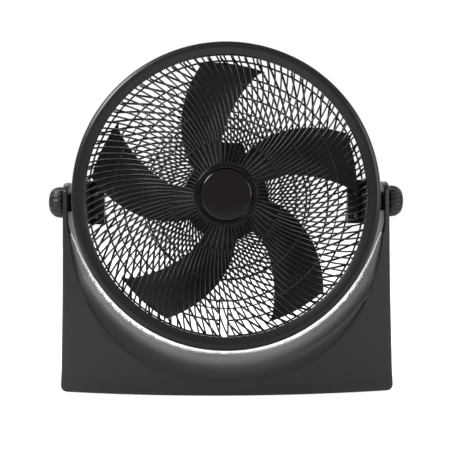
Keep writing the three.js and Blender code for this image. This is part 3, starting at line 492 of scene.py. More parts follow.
# %% Hub and badge
HUB_FRONT = -HUB_FORWARD - 3
BADGE_R, BADGE_SEAT = 41.2, HUB_FRONT + 4.5
hub_profile = rounded([
    (0, BADGE_SEAT, 0), (BADGE_R + 0.5, BADGE_SEAT, 0.4), (BADGE_R + 0.9, HUB_FRONT + 0.6, 0.8),
    (BADGE_R + 3, HUB_FRONT, 1), (HUB_R - 2.6, HUB_FRONT, 1.5), (HUB_R, HUB_FRONT + 2.5, 1.5),
    (HUB_R, HUB_FRONT + 10, 0.8), (HUB_R - 2.5, HUB_FRONT + 10, 0.8), (0, BADGE_SEAT + 2.5, 0)], steps=5)
make_piece("hub_cap", [turned(hub_profile, 160)], "head", hub_plastic, ["front_guard"])
badge_profile = rounded([
    (0, HUB_FRONT - 2, 0), (BADGE_R * 0.6, HUB_FRONT - 1.5, 14), (BADGE_R - 3, HUB_FRONT - 0.3, 3),
    (BADGE_R, HUB_FRONT + 1.6, 1.2), (BADGE_R, BADGE_SEAT - 0.3, 0.3), (0, BADGE_SEAT - 0.3, 0)], steps=6)
make_piece("badge_disc", [turned(badge_profile, 160)], "head", badge_plastic, ["hub_badge"])

# %% [markdown]
# ## Rear guard
# Seventy-two ribs run from the rim round a corner, across the back and down into a shallow well. Seen
# through the front guard they lean the other way, at a constant angle to the radius, which is a
# logarithmic spiral. Each rib stands on edge, its section square to the guard's own profile.

# %% Rear ribs
REAR_PLANE, WELL_DEPTH, CORNER_R = 100, 81, HEAD_R - 8
REAR_RINGS, REAR_WIRE = (CORNER_R - 3, 218, 183, 144, 124), 3.4
REAR_RIBS, REAR_PHASE, REAR_SLANT = 72, 3.06, 45
REAR_WIDTH, REAR_DEPTH, REAR_NOSE = 3.6, 4, 2.2
PLATE_R, PLATE_WALL = 74, 3
BLOCK_X, BLOCK_HEIGHT = 215, 77
CHANNEL, STRUT, CHANNEL_X = 11.6, 3.2, -4.8  # the slot stands a little to the left

rear_path = rounded([
    (DRUM_IN_R - 2, DRUM_DEPTH + 2), (DRUM_IN_R - 2, REAR_PLANE - 9, 5), (CORNER_R - 7, REAR_PLANE, 5),
    (218, REAR_PLANE, 3), (183, REAR_PLANE, 3), (162, REAR_PLANE, 3), (144, REAR_PLANE, 5),
    (124, WELL_DEPTH, 6), (98, WELL_DEPTH, 3), (PLATE_R - 2, WELL_DEPTH)], closed=False)
run = unit(np.gradient(rear_path, axis=0))
rear_out = np.stack([run[:, 1], -run[:, 0]], 1)
rear_edge = rear_path + rear_out * REAR_DEPTH
REAR_SECTION = rib_section(REAR_WIDTH, REAR_DEPTH, REAR_NOSE)
REAR_SECTION[:, 1] = REAR_DEPTH - REAR_SECTION[:, 1]  # the noses point backwards


def rear_clock(r):
    return -math.tan(math.radians(REAR_SLANT)) * np.log(np.minimum(r, CORNER_R) / CORNER_R)


def rear_rib(start):
    clock = start + rear_clock(rear_path[:, 0])
    spine = on_head(rear_path[:, 0], clock, rear_path[:, 1])
    out = on_head(rear_out[:, 0], clock, rear_out[:, 1]) - np.array([0, -ORIGIN_DEPTH, AXIS_HEIGHT])
    return swept(REAR_SECTION, spine, unit(np.cross(np.gradient(spine, axis=0), out)), out)


def kept_runs(rows):
    """The stretches of a rib that neither cross the bottom channel nor run into a pivot block."""
    middle = rows.mean(1)
    x, z = np.abs(middle[:, 0]), middle[:, 2]
    beside_slot = np.abs(middle[:, 0] - CHANNEL_X) < CHANNEL / 2 + STRUT * 0.7
    in_channel = beside_slot & (z < AXIS_HEIGHT - REAR_RINGS[2] + 1)
    in_block = (x > BLOCK_X) & (np.abs(z - PIVOT_Z) < BLOCK_HEIGHT / 2)
    keep = ~(in_channel | in_block)
    edges = np.flatnonzero(np.diff(np.r_[0, keep.astype(int), 0]))
    return [rows[a:b] for a, b in zip(edges[::2], edges[1::2]) if b - a > 1]


def denser(rows, steps=3):
    """More rows between the given ones, so that a rib is cut close to where it meets a block."""
    t = np.linspace(0, 1, steps, endpoint=False)[None, :, None, None]
    between = rows[:-1, None] * (1 - t) + rows[1:, None] * t
    return np.concatenate([between.reshape(-1, *rows.shape[1:]), rows[-1:]])


rear_surfaces = []
for k in range(REAR_RIBS):
    rib = denser(rear_rib(math.radians(REAR_PHASE) + k * 2 * np.pi / REAR_RIBS))
    rear_surfaces += [grid(part) for part in kept_runs(rib)]
make_piece("rear_ribs", rear_surfaces, "head", guard_plastic, ["rear_guard"])

# %% [markdown]
# The guard's rim is a flat ring against the drum. At the bottom two straight struts leave a clear slot
# between them, and only the outer rings stop there. In the middle the ribs end in a round plate with a
# raised lip; the motor stands on its front, the control housing on its back.

# %% Rear rim, struts, rings and plate
def rear_back(r):
    """Depth of the ribs' outer edges at a radius, across the back of the guard."""
    inwards = rear_edge[np.argmax(rear_edge[:, 0]):]
    return np.interp(r, inwards[::-1, 0], inwards[::-1, 1])


for number, r in enumerate(REAR_RINGS, 1):
    gap = CHANNEL / 2 + STRUT * 0.7 if r > BLOCK_X else 0
    middle = math.pi - math.asin(CHANNEL_X / r) if gap else math.pi
    half_gap = math.asin(gap / r)
    clock = np.linspace(middle + half_gap, middle + 2 * math.pi - half_gap, 241)
    ring = wire(r, rear_back(r) + 1.1, REAR_WIRE, clock, loop=gap == 0)
    make_piece(f"rear_ring_{number}", [ring], "head", guard_plastic, [f"rear_guard_ring_{number}"])

rim = rounded([(DRUM_R - 6, DRUM_DEPTH + 0.3), (DRUM_R, DRUM_DEPTH + 0.3), (DRUM_R, DRUM_DEPTH + 4, 1.5),
               (DRUM_R - 6, DRUM_DEPTH + 4, 1)], 0.4)
rim_rows = on_head(rim[None, :, 0], full_turn(RING_STEPS)[:, None], rim[None, :, 1])
free = np.abs(rim_rows[:, 0, 2] - PIVOT_Z) > BLOCK_HEIGHT / 2
rim_surfaces = []
for start in np.flatnonzero(free & ~np.roll(free, 1)):
    order = np.roll(np.arange(RING_STEPS), -start)
    length = np.argmin(np.r_[free[order], False])
    rim_surfaces.append(grid(rim_rows[order[:length]]))
strut_line = rounded([(DRUM_DEPTH + 2, -DRUM_R + 3), (REAR_PLANE - 4, -DRUM_R + 3, 6),
                      (REAR_PLANE + 2, -CORNER_R + 4, 3), (REAR_PLANE + 2, -REAR_RINGS[2] + 4)],
                     steps=5, closed=False)
struts = []
for side in (-1, 1):
    x = CHANNEL_X + side * (CHANNEL / 2 + STRUT / 2) + STRUT / 2 * np.array([-1, 1, 1, -1])
    struts.append(grid([in_depth(x, depth + np.array([-2, -2, 2, 2]), AXIS_HEIGHT + height)
                        for depth, height in strut_line]))
make_piece("rear_rim", rim_surfaces + struts, "head", guard_plastic, ["rear_guard"])

PLATE_FRONT, PLATE_LIP = WELL_DEPTH - 1, WELL_DEPTH + 4.6
NOSE_R = 12
VENT_PITCH, VENT_WIDTH, VENT_LENGTH, VENT_TOP = 11, 5, 14, -52
plate_profile = rounded([
    (NOSE_R + 0.6, PLATE_FRONT), (PLATE_R, PLATE_FRONT, 1), (PLATE_R, PLATE_LIP, 1),
    (PLATE_R - PLATE_WALL, PLATE_LIP, 0.8),
    (PLATE_R - PLATE_WALL, PLATE_FRONT + PLATE_WALL, 1), (NOSE_R + 0.6, PLATE_FRONT + PLATE_WALL)], 0.4)
rear_plate = make_piece("rear_plate", [turned(plate_profile, 160)], "head", guard_plastic, ["rear_guard"])

# %% [markdown]
# ## Cutting slots
# The vents are real holes. A boolean takes a few rounded plugs out of a finished piece, and its result
# is kept as a plain mesh, so no helper object stays in the scene.

# %% Cut plugs out of a piece
def cut(piece, plugs):
    mesh, bm = start_mesh("plug", plugs)
    bmesh.ops.recalc_face_normals(bm, faces=bm.faces)
    plug = close_mesh("plug", mesh, bm)
    boolean = piece.modifiers.new("cut", "BOOLEAN")
    boolean.object, boolean.operation, boolean.solver = plug, "DIFFERENCE", "EXACT"
    graph = bpy.context.evaluated_depsgraph_get()
    after = bpy.data.meshes.new_from_object(piece.evaluated_get(graph))
    piece.modifiers.clear()
    piece.data = after
    bpy.data.objects.remove(plug)
    print(f"{piece.name} after the cut: {len(after.polygons)} faces")


def vent_plugs(front, back):
    """Three rounded plugs side by side, from a depth in front of a wall to one behind it."""
    x, z = VENT_WIDTH / 2 * np.array([-1, 1, 1, -1]), VENT_TOP - VENT_LENGTH * np.array([1, 1, 0, 0])
    lines = [rounded(np.stack([middle + x, z], 1), VENT_WIDTH * 0.48, 5)
             for middle in (-VENT_PITCH, 0, VENT_PITCH)]
    return [layers([(line, front), (line, back)]) for line in lines]


cut(rear_plate, vent_plugs(PLATE_FRONT - 3, PLATE_FRONT + PLATE_WALL + 3))

# %% [markdown]
# ## Impeller
# Five blades sweep forwards in the direction they turn: seen from the front the tip is far ahead of the
# root. The trailing edge advances steadily with the radius; the leading edge is radial near the hub,
# then sweeps, and ends in a small ear at the tip. Each blade is a thin cambered skin whose pitch
# flattens towards the tip, and all five grow out of a cup that hides the motor.

# %% Blades and hub cup
BLADE_R, CUP_R, CUP_FRONT, CUP_REAR = 228.5, 55, 20, 62
CHORD_STATIONS, BLADES = 18, 5
TRAILING, TRAILING_SWEEP = 18.2, 0.254  # clock angle at the cup, and degrees more for each millimetre
LEADING, LEADING_SWEEP, SWEPT_FROM_R = 68, 0.156, 100
ROOT_PITCH, PITCH_LOST = 38, 18  # degrees
BLADE_DEPTH, TIP_SET_BACK, CAMBER, THICKNESS = 42, 8, 5, 2.6


def blade_section(r, turn):
    """A closed section at one radius, drawn round the axis on a cylinder."""
    out = (r - CUP_R) / (BLADE_R - CUP_R)
    ear = 1.6 * math.exp(-(((BLADE_R - r) / 5) ** 2))
    trailing = TRAILING + TRAILING_SWEEP * (r - CUP_R)
    leading = LEADING + LEADING_SWEEP * max(0, r - SWEPT_FROM_R) + ear
    slope = math.tan(math.radians(ROOT_PITCH - PITCH_LOST * math.sqrt(max(out, 0))))
    t = (1 - np.cos(np.linspace(0, np.pi, CHORD_STATIONS))) / 2
    angle = trailing + (leading - trailing) * t
    along = r * np.radians(angle - (trailing + leading) / 2)
    middle = BLADE_DEPTH + TIP_SET_BACK * out + slope * along + CAMBER * (1 - (2 * t - 1) ** 2)
    thick = THICKNESS * (0.3 + 0.7 * np.sin(np.pi * t) ** 0.5)
    clock = np.radians(angle + turn)
    front, back = on_head(r, clock, middle - thick / 2), on_head(r, clock, middle + thick / 2)
    return np.concatenate([front, back[::-1]])


blade_radii = [*np.linspace(CUP_R - 1.2, 205, 26), *np.linspace(209, BLADE_R - 1.5, 9), BLADE_R]
blades = [grid([blade_section(r, k * 360 / BLADES) for r in blade_radii]) for k in range(BLADES)]
cup_profile = rounded([
    (4.1, CUP_FRONT), (CUP_R - 4, CUP_FRONT, 2), (CUP_R, CUP_FRONT + 4, 3), (CUP_R, CUP_REAR, 0.8),
    (CUP_R - 2.5, CUP_REAR, 0.8), (CUP_R - 2.5, CUP_FRONT + 5, 2), (CUP_R - 5, CUP_FRONT + 2.5, 2),
    (9, CUP_FRONT + 2.5, 1), (9, 27.8, 0.5), (4.1, 27.8, 0.3)], 0.5)
make_piece("impeller", [turned(cup_profile, 128)] + blades, "impeller", blade_plastic, ["impeller_blades"])

# %% [markdown]
# The nut that holds the impeller is a small fluted spinner, deep behind the hub of the guard.

# %% Blade nut
def fluted(axial, flutes, depth, steps=8):
    """Rows of a fluted body: axial gives (distance, radius, share of the flutes' depth)."""
    turn = full_turn(flutes * steps)
    wave = (0.5 - 0.5 * np.cos(flutes * turn)) ** 1.5
    rings = [(far, r - depth * share * wave) for far, r, share in axial]
    return np.array([np.stack([np.full_like(turn, far), ring * np.cos(turn), ring * np.sin(turn)], 1)
                     for far, ring in rings])


NUT_BACK = 19.7
nut = fluted([(0, 10.6, 1), (1, 11, 1), (8, 11, 1), (10.5, 9.6, 0.6), (12, 7, 0.2)], 4, 3)
nut = in_depth(nut[..., 1], NUT_BACK - nut[..., 0], AXIS_HEIGHT + nut[..., 2])
make_piece("impeller_nut", [grid(nut)], "impeller", knob_plastic, ["blade_nut"])

# %% [markdown]
# ## Pivot blocks
# On each side a block joins the drum to the rear guard: a wall beside the blades, a panel across the
# back with two screws, and a round boss that reaches out to the arm. The block is drawn as level
# slices, because its outer wall has to follow the drum's curve from slice to slice.

# %% Pivot blocks and their screws
BLADE_GAP_R = BLADE_R + 7.5
BLOCK_FRONT, PANEL = 40, 12
ARM_IN_X = HEAD_R + 11.5


BLOCK_LOW, BLOCK_HIGH = -PIVOT_DROP - BLOCK_HEIGHT / 2, -PIVOT_DROP + BLOCK_HEIGHT / 2
EDGE = [(1.2, 0), (0.35, 0.35), (0, 1.2)]  # how a block's ends are rounded: inset, distance from the end


def block_slices(outline, outer_r, side):
    """Level slices of an outline; points beyond outer_r follow that circle round the head's axis."""
    levels = [(inset, BLOCK_LOW + far) for inset, far in EDGE]
    levels += [(0, z) for z in np.linspace(BLOCK_LOW + 8, BLOCK_HIGH - 8, 9)]
    levels += [(inset, BLOCK_HIGH - far) for inset, far in EDGE[::-1]]
    rows = []
    for inset, height in levels:
        ring = outline + unit(outline.mean(0) - outline) * inset
        x = np.minimum(ring[:, 0], math.sqrt(outer_r ** 2 - height ** 2) - inset)
        rows.append(in_depth(side * x, ring[:, 1], AXIS_HEIGHT + height))
    return grid(rows)


wall_outline = rounded([(BLADE_GAP_R, BLOCK_FRONT), (HEAD_R, BLOCK_FRONT), (HEAD_R, DRUM_DEPTH - 0.3),
                        (BLADE_GAP_R, DRUM_DEPTH - 0.3)], 1)
back_outline = rounded([
    (BLADE_GAP_R, DRUM_DEPTH - 1), (HEAD_R, DRUM_DEPTH - 1), (HEAD_R, REAR_PLANE - 3, 3),
    (BLADE_R + 9, REAR_PLANE - 3, 1), (BLADE_R + 9, REAR_PLANE + 4, 1.5), (BLOCK_X, REAR_PLANE + 4, 1.5),
    (BLOCK_X, REAR_PLANE - PANEL, 1.5), (BLADE_GAP_R, REAR_PLANE - PANEL, 2)], 1)
boss_profile = rounded([(5.6, DRUM_IN_R - 8), (BOSS_R, DRUM_IN_R - 8, 1), (BOSS_R, ARM_IN_X - 0.3, 1.2),
                        (5.6, ARM_IN_X - 0.3, 0.6)], 0.5)
SCREW_X, SCREW_RISES = 229.5, (14.5, -25.5)


def at_pivot(surface, side):
    """A surface drawn round the X axis, placed at the pivot on one side."""
    points, faces = surface
    return points * np.array([side, 1, 1]) + np.array([0, PIVOT_DEPTH - ORIGIN_DEPTH, PIVOT_Z]), faces


def round_pivot(profile, side):
    return at_pivot(turned(profile, 96, (0, 0, 0), "x"), side)


def screw_head(x, z):
    """A pan head with a cross recess, standing on the front of a block's panel."""
    turn = full_turn(48)
    cross = 1.55 * np.maximum(0.28, np.abs(np.cos(2 * turn)) ** 6)
    rings = [(3.6, 0), (3.6, 1.1), (3.1, 1.9), (2.3, 2.3), (1.7, 2.4), (cross, 2.4), (0.8 * cross, 1.0),
             (0.05 * cross, 0.8)]
    return grid([in_depth(x + r * np.cos(turn), REAR_PLANE - PANEL - lift, z + r * np.sin(turn))
                 for r, lift in rings])


SIDES = ((1, "right"), (-1, "left"))
for side, name in SIDES:
    surfaces = [block_slices(wall_outline, DRUM_IN_R - 0.3, side), block_slices(back_outline, DRUM_R, side),
                round_pivot(boss_profile, side)]
    make_piece(f"{name}_block", surfaces, "head", bezel_plastic, [f"{name}_pivot_block"])
    screws = [screw_head(side * SCREW_X, PIVOT_Z + rise) for rise in SCREW_RISES]
    make_piece(f"{name}_block_screws", screws, "head", turned_steel)

# %% [markdown]
# ## Tilt knobs
# A knob is a deep cap that the thumb and fingers can grip: flutes run along its side and fade out over
# the rounded shoulder, and the end is nearly flat. The same rows of points make both, mirrored.

# %% Tilt knobs and washers
WASHER_X, WASHER = ARM_IN_X + 9.5 + 0.3, 1.2
KNOB_X, KNOB_R = WASHER_X + WASHER + 0.3, 27
knob_rows = fluted([
    (0, 24.6, 0), (0.3, 25.4, 0.3), (1.2, 26.4, 0.8), (2.5, KNOB_R, 1), (8, 26.8, 1), (12, 26.3, 1),
    (15.5, 25.2, 0.9), (18.6, 23.2, 0.7), (21, 21, 0.35), (22.4, 19.2, 0.1), (23.4, 17, 0), (24.8, 12, 0),
    (25.9, 6, 0), (26.4, 1, 0)], 16, 1.7, 10) + np.array([KNOB_X, 0, 0])
washer_profile = rounded([(5.6, WASHER_X), (22, WASHER_X, 0.5), (22, WASHER_X + WASHER, 0.5),
                          (5.6, WASHER_X + WASHER)], 0.3)
for side, name in SIDES:
    make_piece(f"{name}_knob_cap", [at_pivot(grid(knob_rows), side)], f"{name}_knob", knob_plastic,
               [f"{name}_tilt_knob"], sharp=math.radians(60))
    make_piece(f"{name}_washer", [round_pivot(washer_profile, side)], "base", bezel_plastic,
               [f"{name}_friction_washer"])

# %% [markdown]
# ## Base
# The base is one sweeping form: two arms that run down the sides and meet in a broad foot. It is drawn as
# closed sections strung between two curves seen from the front. The inner curve is the saddle under the
# head, the outer curve the base's outline. In between, the front face rolls back into a dish on a lower
# circle than the saddle's, so it narrows to nothing at the sides: the bright crescent under the ring.

# %% The base's two curves
BASE_X, ARM_X, ARM_R = 283.5, 277.5, 34
BASE_BOTTOM, SHOULDER, ARM_TOP = 2.5, PIVOT_Z - ARM_R, PIVOT_Z + ARM_R
SADDLE_R, DISH_R, DISH_DROP, DISH_LIP = 266, 264.5, 51, 64
DISH_CREASE = 0.6  # how far the dish meets the face in a crease at the base's sides; 0 is a smooth start
FACE_MIDDLE, FACE_SIDE = 5, 40
BASE_REAR, REAR_BOW, TOE_TOP = 190, 14, 18.5
SPLIT = PIVOT_DEPTH + ARM_R + 1
SADDLE_REAR = 70  # behind this depth the saddle's floor falls to the toe, and daylight shows over it
SADDLE_EASE = 3.2  # the saddle's radius grows by this much from the bottom to the sides
SADDLE_FALL = (AXIS_HEIGHT - SADDLE_R - TOE_TOP) / (BASE_REAR - SADDLE_REAR)
GAP_FOOT_ANGLE = 106.6  # the saddle ends at this clock angle, where the arm's inner face begins
SHOULDER_STEP = 1.4  # a section's step: 0 to 1 round the saddle, to this at the shoulder, to 2 up the arm


def face_depth(x):
    return FACE_MIDDLE + (FACE_SIDE - FACE_MIDDLE) * (x / BASE_X) ** 2


def arm_front(z):
    above = np.clip(z - PIVOT_Z, 0, ARM_R)
    return PIVOT_DEPTH - np.sqrt(ARM_R ** 2 - above ** 2) - np.where(z > PIVOT_Z, 0, 1000)


pivot_centre = np.array([PIVOT_DEPTH, PIVOT_Z])
down_to_toe = np.array([BASE_REAR, TOE_TOP]) - pivot_centre
touch_angle = math.atan2(*down_to_toe[::-1]) + math.acos(ARM_R / np.linalg.norm(down_to_toe))
touch = pivot_centre + ARM_R * np.array([math.cos(touch_angle), math.sin(touch_angle)])


def slope_depth(x, z):
    """The back's depth: a slope from the toe up to where it touches the arm's round top."""
    slope = BASE_REAR + (touch[0] - BASE_REAR) * (z - TOE_TOP) / (touch[1] - TOE_TOP)
    crown = PIVOT_DEPTH + np.sqrt(np.maximum(ARM_R ** 2 - (z - PIVOT_Z) ** 2, 0))
    side = np.where(z < TOE_TOP, BASE_REAR, np.where(z < touch[1], slope, crown))
    return np.minimum(side, BASE_REAR - REAR_BOW * (x / BASE_X) ** 2)


def saddle_radius(x):
    return SADDLE_R + SADDLE_EASE * np.minimum(np.abs(x) / SADDLE_R, 1)


def floor_depth(x, z):
    saddle = AXIS_HEIGHT - np.sqrt(np.maximum(saddle_radius(x) ** 2 - x ** 2, 0))
    return np.where(np.abs(x) < SADDLE_R, SADDLE_REAR + (saddle - z) / SADDLE_FALL, 1000)


outer = rounded([(0, BASE_BOTTOM), (BASE_X, BASE_BOTTOM, 12), (ARM_X, SHOULDER, 0.5), (ARM_X, ARM_TOP)],
                steps=16, closed=False)
outer = np.array([a + (b - a) * t for a, b in zip(outer, outer[1:])
                  for t in np.linspace(0, 1, 40, endpoint=False)] + [outer[-1]])
from_axis = outer - [0, AXIS_HEIGHT]
outer_angle = np.degrees(np.arctan2(*from_axis.T))
upper = outer[len(outer) // 2:]


def curve_pair(step):
    """The inner and the outer point of one section."""
    if step <= 1:
        angle = 180 - (180 - GAP_FOOT_ANGLE) * step
        ray = np.array([math.sin(math.radians(angle)), math.cos(math.radians(angle))])
        far = np.interp(-angle, -outer_angle, np.hypot(*from_axis.T))
        centre = np.array([0, AXIS_HEIGHT])
        return centre + ray * saddle_radius(ray[0] * SADDLE_R), centre + ray * far
    if step < SHOULDER_STEP:
        t = (step - 1) / (SHOULDER_STEP - 1)
        inner, outer_point = curve_pair(1)
        outer_low = np.array([np.interp(SHOULDER, upper[:, 1], upper[:, 0]), SHOULDER])
        inner = inner + (np.array([ARM_IN_X, SHOULDER]) - inner) * t
        inner[0] += 1.5 * math.sin(math.pi * t)
        return inner, outer_point + (outer_low - outer_point) * t
    t = (step - SHOULDER_STEP) / (2 - SHOULDER_STEP)
    z = SHOULDER + (ARM_TOP - SHOULDER) * math.sin(t * math.pi / 2)
    edge = 3 - math.sqrt(max(9 - max(z - ARM_TOP + 3, 0) ** 2, 0))
    return np.array([ARM_IN_X + edge, z]), np.array([ARM_X - edge, z])


steps = np.concatenate([np.linspace(0, 0.5, 40), 0.53 + 0.08 * np.linspace(0, 1, 24),
                        np.linspace(0.63, 1, 26), np.linspace(1.02, 1.38, 14), np.linspace(1.4, 2, 34)])
pairs = [curve_pair(step) for step in steps]
print("sections on each side:", len(pairs))

# %% [markdown]
# Each section is a closed loop: across from the inner curve to the outer one, and back in depth. The
# front shell, the dish's thin skin and the rear shell are cut from the same loop. At the joint of the two
# shells both edges have a small chamfer, so the joint shows as a fine dark line.

# %% One section of the base
JOINT_GAP, JOINT_EDGE = 0.15, 0.6
FRONT_END, REAR_START = SPLIT - JOINT_GAP, SPLIT + JOINT_GAP
SKIN, LIP_LENGTH, SKIN_TOP = 0.3, 6, 1.2  # the dish's skin: thickness, turned lip, last step it covers
SIDE_ROUND, BACK_ROUND = 9, 18  # the outer edges' radii, less up the arms and low down


def section(inner, outer_point, part, covered=False):
    """A closed loop of the front, the skin or the rear; covered is where the skin lies over the front."""
    across = outer_point - inner
    width = np.linalg.norm(across)
    across = across / width
    arm = np.clip((inner[1] - 200) / 90, 0, 1)
    low = np.clip(1 - outer_point[1] / 40, 0, 1)
    side_round = min(SIDE_ROUND - 6 * arm - 6.5 * low, width * 0.45)
    back_round = min(BACK_ROUND - 15 * arm - 15 * low, width * 0.45)
    points = []

    def put(t, depth):
        points.extend(zip(np.asarray(t, float), np.asarray(depth, float)))

    def at(t):
        return (inner + across * np.asarray(t)[:, None]).T

    def front_at(t):
        x, z = at(t)
        return np.maximum(face_depth(x), arm_front(z))

    def back_at(t):
        return np.maximum(np.minimum(slope_depth(*at(t)), floor_depth(*at(t))), front_at(t) + 0.4)

    def over_joint(t):
        return np.minimum(back_at(t), FRONT_END)

    def reaches(joint):
        t = np.linspace(0, width * 0.9, 400)
        return t[np.argmax(back_at(t) >= joint)]

    t = np.linspace(0, width, 800)
    over = floor_depth(*at(t)) - slope_depth(*at(t))
    k = max(np.argmax(over > 0), 1)
    ridge = float(np.interp(0, over[k - 1:k + 1], t[k - 1:k + 1]))  # here the floor meets the back's slope

    if part != "rear":
        offset = inner - np.array([0, AXIS_HEIGHT - DISH_DROP])
        along = float(offset @ across)
        roll = -along + math.sqrt(max(along ** 2 - float(offset @ offset) + DISH_R ** 2, 0))
        roll = 3 + 0.5 * ((roll - 3) + math.sqrt((roll - 3) ** 2 + 4))
        roll = min(roll, width * 0.4) if arm > 0 else roll
        turn = np.linspace(math.pi / 2, 0, 13)
        t = roll * (1 - np.sin(turn))
        front = front_at(t)
        deep = max(DISH_LIP - float(front[0]), 3) * (1 - arm) + 3 * arm
        crease = DISH_CREASE * (1 - arm) * (at(t)[0] / BASE_X) ** 2
        dish = front + deep * ((1 - crease) * (1 - np.cos(turn)) + crease * np.sin(turn))
        dish = np.minimum(dish, over_joint(t) - 0.1)
        put(t, dish)
        t = np.linspace(roll, width - side_round, 12)[1:]
        put(t, front_at(t))
        lip = (0.0, min(dish[0] + LIP_LENGTH, float(back_at([0.0])[0]) - 0.1))
        turn = np.append(turn, np.zeros(11))
        under = [(t + SKIN * math.sin(a), depth + SKIN * math.cos(a)) for (t, depth), a in zip(points, turn)]
        if part == "skin":
            points = [lip] + points + under[::-1] + [(SKIN, lip[1])]
        else:
            points = [lip] + (under if covered else points)
    if part == "front":
        turn = np.linspace(0, math.pi / 2, 9)[1:]
        t = width - side_round + side_round * np.sin(turn)
        edge_front = front_at(t) + side_round * (1 - np.cos(turn))
        put(t, np.minimum(edge_front, over_joint(t) - 0.1))
        crest = reaches(FRONT_END)
        wall_end = float(over_joint([width])[0]) - JOINT_EDGE  # two points keep the wall flat up to there
        put([width, width], [min(points[-1][1] + 0.5, wall_end - 0.2), wall_end - 0.1])
        t = [width, width - JOINT_EDGE, crest + JOINT_EDGE]
        put(t, over_joint(t) - [JOINT_EDGE, 0, 0])
        bend = np.clip(ridge, crest * 0.05, crest * 0.95)
        t = np.append(np.linspace(crest, bend, 4), np.linspace(bend, 0, 5)[1:])
        put(t, np.minimum(back_at(t), FRONT_END - JOINT_EDGE))
    if part == "rear":
        crest = reaches(REAR_START)
        put([crest, crest + JOINT_EDGE, width - JOINT_EDGE, width],
            [REAR_START + JOINT_EDGE, REAR_START, REAR_START, REAR_START + JOINT_EDGE])
        turn = np.linspace(math.pi / 2, 0, 13)
        t = width - back_round + back_round * np.sin(turn)
        back = np.maximum(back_at(t) - back_round * (1 - np.cos(turn)), REAR_START + JOINT_EDGE * 1.2)
        wall_start = REAR_START + JOINT_EDGE * 1.1
        put([width, width], [wall_start, max(back[0] - 0.5, wall_start + 0.02)])
        put(t, back)
        bend = np.clip(ridge, crest + 3.2, max(width - back_round - 0.2, crest + 3.3))
        t = np.append(np.linspace(width - back_round, bend, 16), np.linspace(bend, crest + 3, 16)[1:])[1:]
        put(t, np.maximum(back_at(t), REAR_START + JOINT_EDGE * 1.2))
        turn = np.linspace(0, math.pi / 2, 7)[1:]
        t = crest + 3 - 3 * np.sin(turn)
        put(t, np.maximum(back_at(t) - 3 * (1 - np.cos(turn)), wall_start))
    t, depth = np.array(points).T
    x, z = at(t)
    return in_depth(x, depth, z)


print("points of one section:", {part: len(section(*pairs[0], part)) for part in ("front", "skin", "rear")})


# %% [markdown]
# The dish is a skin of its own on the front shell, so that the lamps behind can light it alone. At the
# sides it meets the face in a crease, which the picture shows as a thin dark arc. That arc is painted
# shade: a node group finds the places near the dish's circle, and the plastic's colour is painted darker
# there, as shade in the crease.

# %% Painted shade along the crease round the dish
# These place the painted shade: a dark arc near the dish's circle, fading in away from the middle.
ARC_WIDTH, ARC_FROM = (0.0006, 0.0016), (0.09, 0.2)  # metres off the circle, and metres off the middle

crease_shade_group, _, put = new_group("dish_crease_shade", {}, {"Mask": "Float"})
axes = axes_of(crease_shade_group, "Object")


def crease_math(operation, a, b=0):
    return calculate(crease_shade_group, operation, a, b)


above = crease_math("SUBTRACT", axes["Z"], (AXIS_HEIGHT - DISH_DROP) * 0.001)
across, up = (crease_math("MULTIPLY", length, length) for length in (axes["X"], above))
from_middle = crease_math("SQRT", crease_math("ADD", across, up))
off_circle = crease_math("ABSOLUTE", crease_math("SUBTRACT", from_middle, DISH_R * 0.001))
arc = ramp(crease_shade_group, off_circle, *ARC_WIDTH, 1, 0)
to_side = ramp(crease_shade_group, crease_math("ABSOLUTE", axes["X"]), *ARC_FROM)
fill(crease_shade_group, put, {"Mask": crease_math("MULTIPLY", arc, to_side)})

base_tree = base_plastic.node_tree
crease_shade_node = base_tree.nodes.new("ShaderNodeGroup")
crease_shade_node.node_tree = crease_shade_group
base_shader = base_tree.nodes["Principled BSDF"]
plain = base_shader.inputs["Base Color"].links[0].from_socket
# The base colour is painted nearly black along the crease: painted shade in the crease.
crease_shaded_color = mixed(base_tree, "RGBA", crease_shade_node.outputs["Mask"], plain, (0.001, 0.001, 0.001, 1))
fill(base_tree, base_shader, {"Base Color": crease_shaded_color})

# %% The two shells and the dish's skin
def shell(part, last=None):
    half = [section(*pair, part, step <= SKIN_TOP) for pair, step in zip(pairs[:last], steps)]
    return grid([rows * np.array([-1, 1, 1]) for rows in half[:0:-1]] + half)


rear_last = sum(1 for inner, _ in pairs if slope_depth(*inner) > SPLIT + 2.2)
make_piece("base_front", [shell("front")], "base", base_plastic, ["base_front_shell"])
make_piece("base_dish", [shell("skin", sum(steps <= SKIN_TOP))], "base", base_plastic, ["base_front_shell"])
make_piece("base_rear", [shell("rear", rear_last)], "base", base_plastic, ["base_rear_shell"])

# %% [markdown]
# Four rubber pads stand under the base. They are only seen as thin dark feet from the front, but they
# are what the whole fan rests on.

# %% Rubber feet
foot_profile = rounded([(0.4, 0), (12.2, 0, 0.6), (13, 1, 0.5), (13, 2.2, 0.3), (0.4, 2.2)], 0.3)
FOOT_X, FOOT_DEPTHS = BASE_X - 45.5, {"front": FACE_SIDE + 24, "rear": BASE_REAR - 32}
for side, name in SIDES:
    for end, depth in FOOT_DEPTHS.items():
        pad = turned(foot_profile, 48, (side * FOOT_X, depth - ORIGIN_DEPTH, 0), "z")
        make_piece(f"{name}_{end}_pad", [pad], "base", rubber, [f"{name}_{end}_foot"])

# %% [markdown]
# ## Control housing
# Behind the guard a round housing with a tower on top holds the switch. Its back edge is softly
# rounded, a shallow dial ring and four plain ticks stand round the speed knob, and three slots let the
# motor breathe. The rubber gland for a cord sits at the bottom.

# %% Control housing
COVER_R, TOWER_X, TOWER_TOP = PLATE_R - PLATE_WALL - 0.3, 34, 98
COVER_FRONT = PLATE_LIP + 0.3
COVER_BACK = COVER_FRONT + 46
SWITCH_Z = AXIS_HEIGHT + TOWER_TOP - 26
KNOB_BASE = COVER_BACK + 0.3

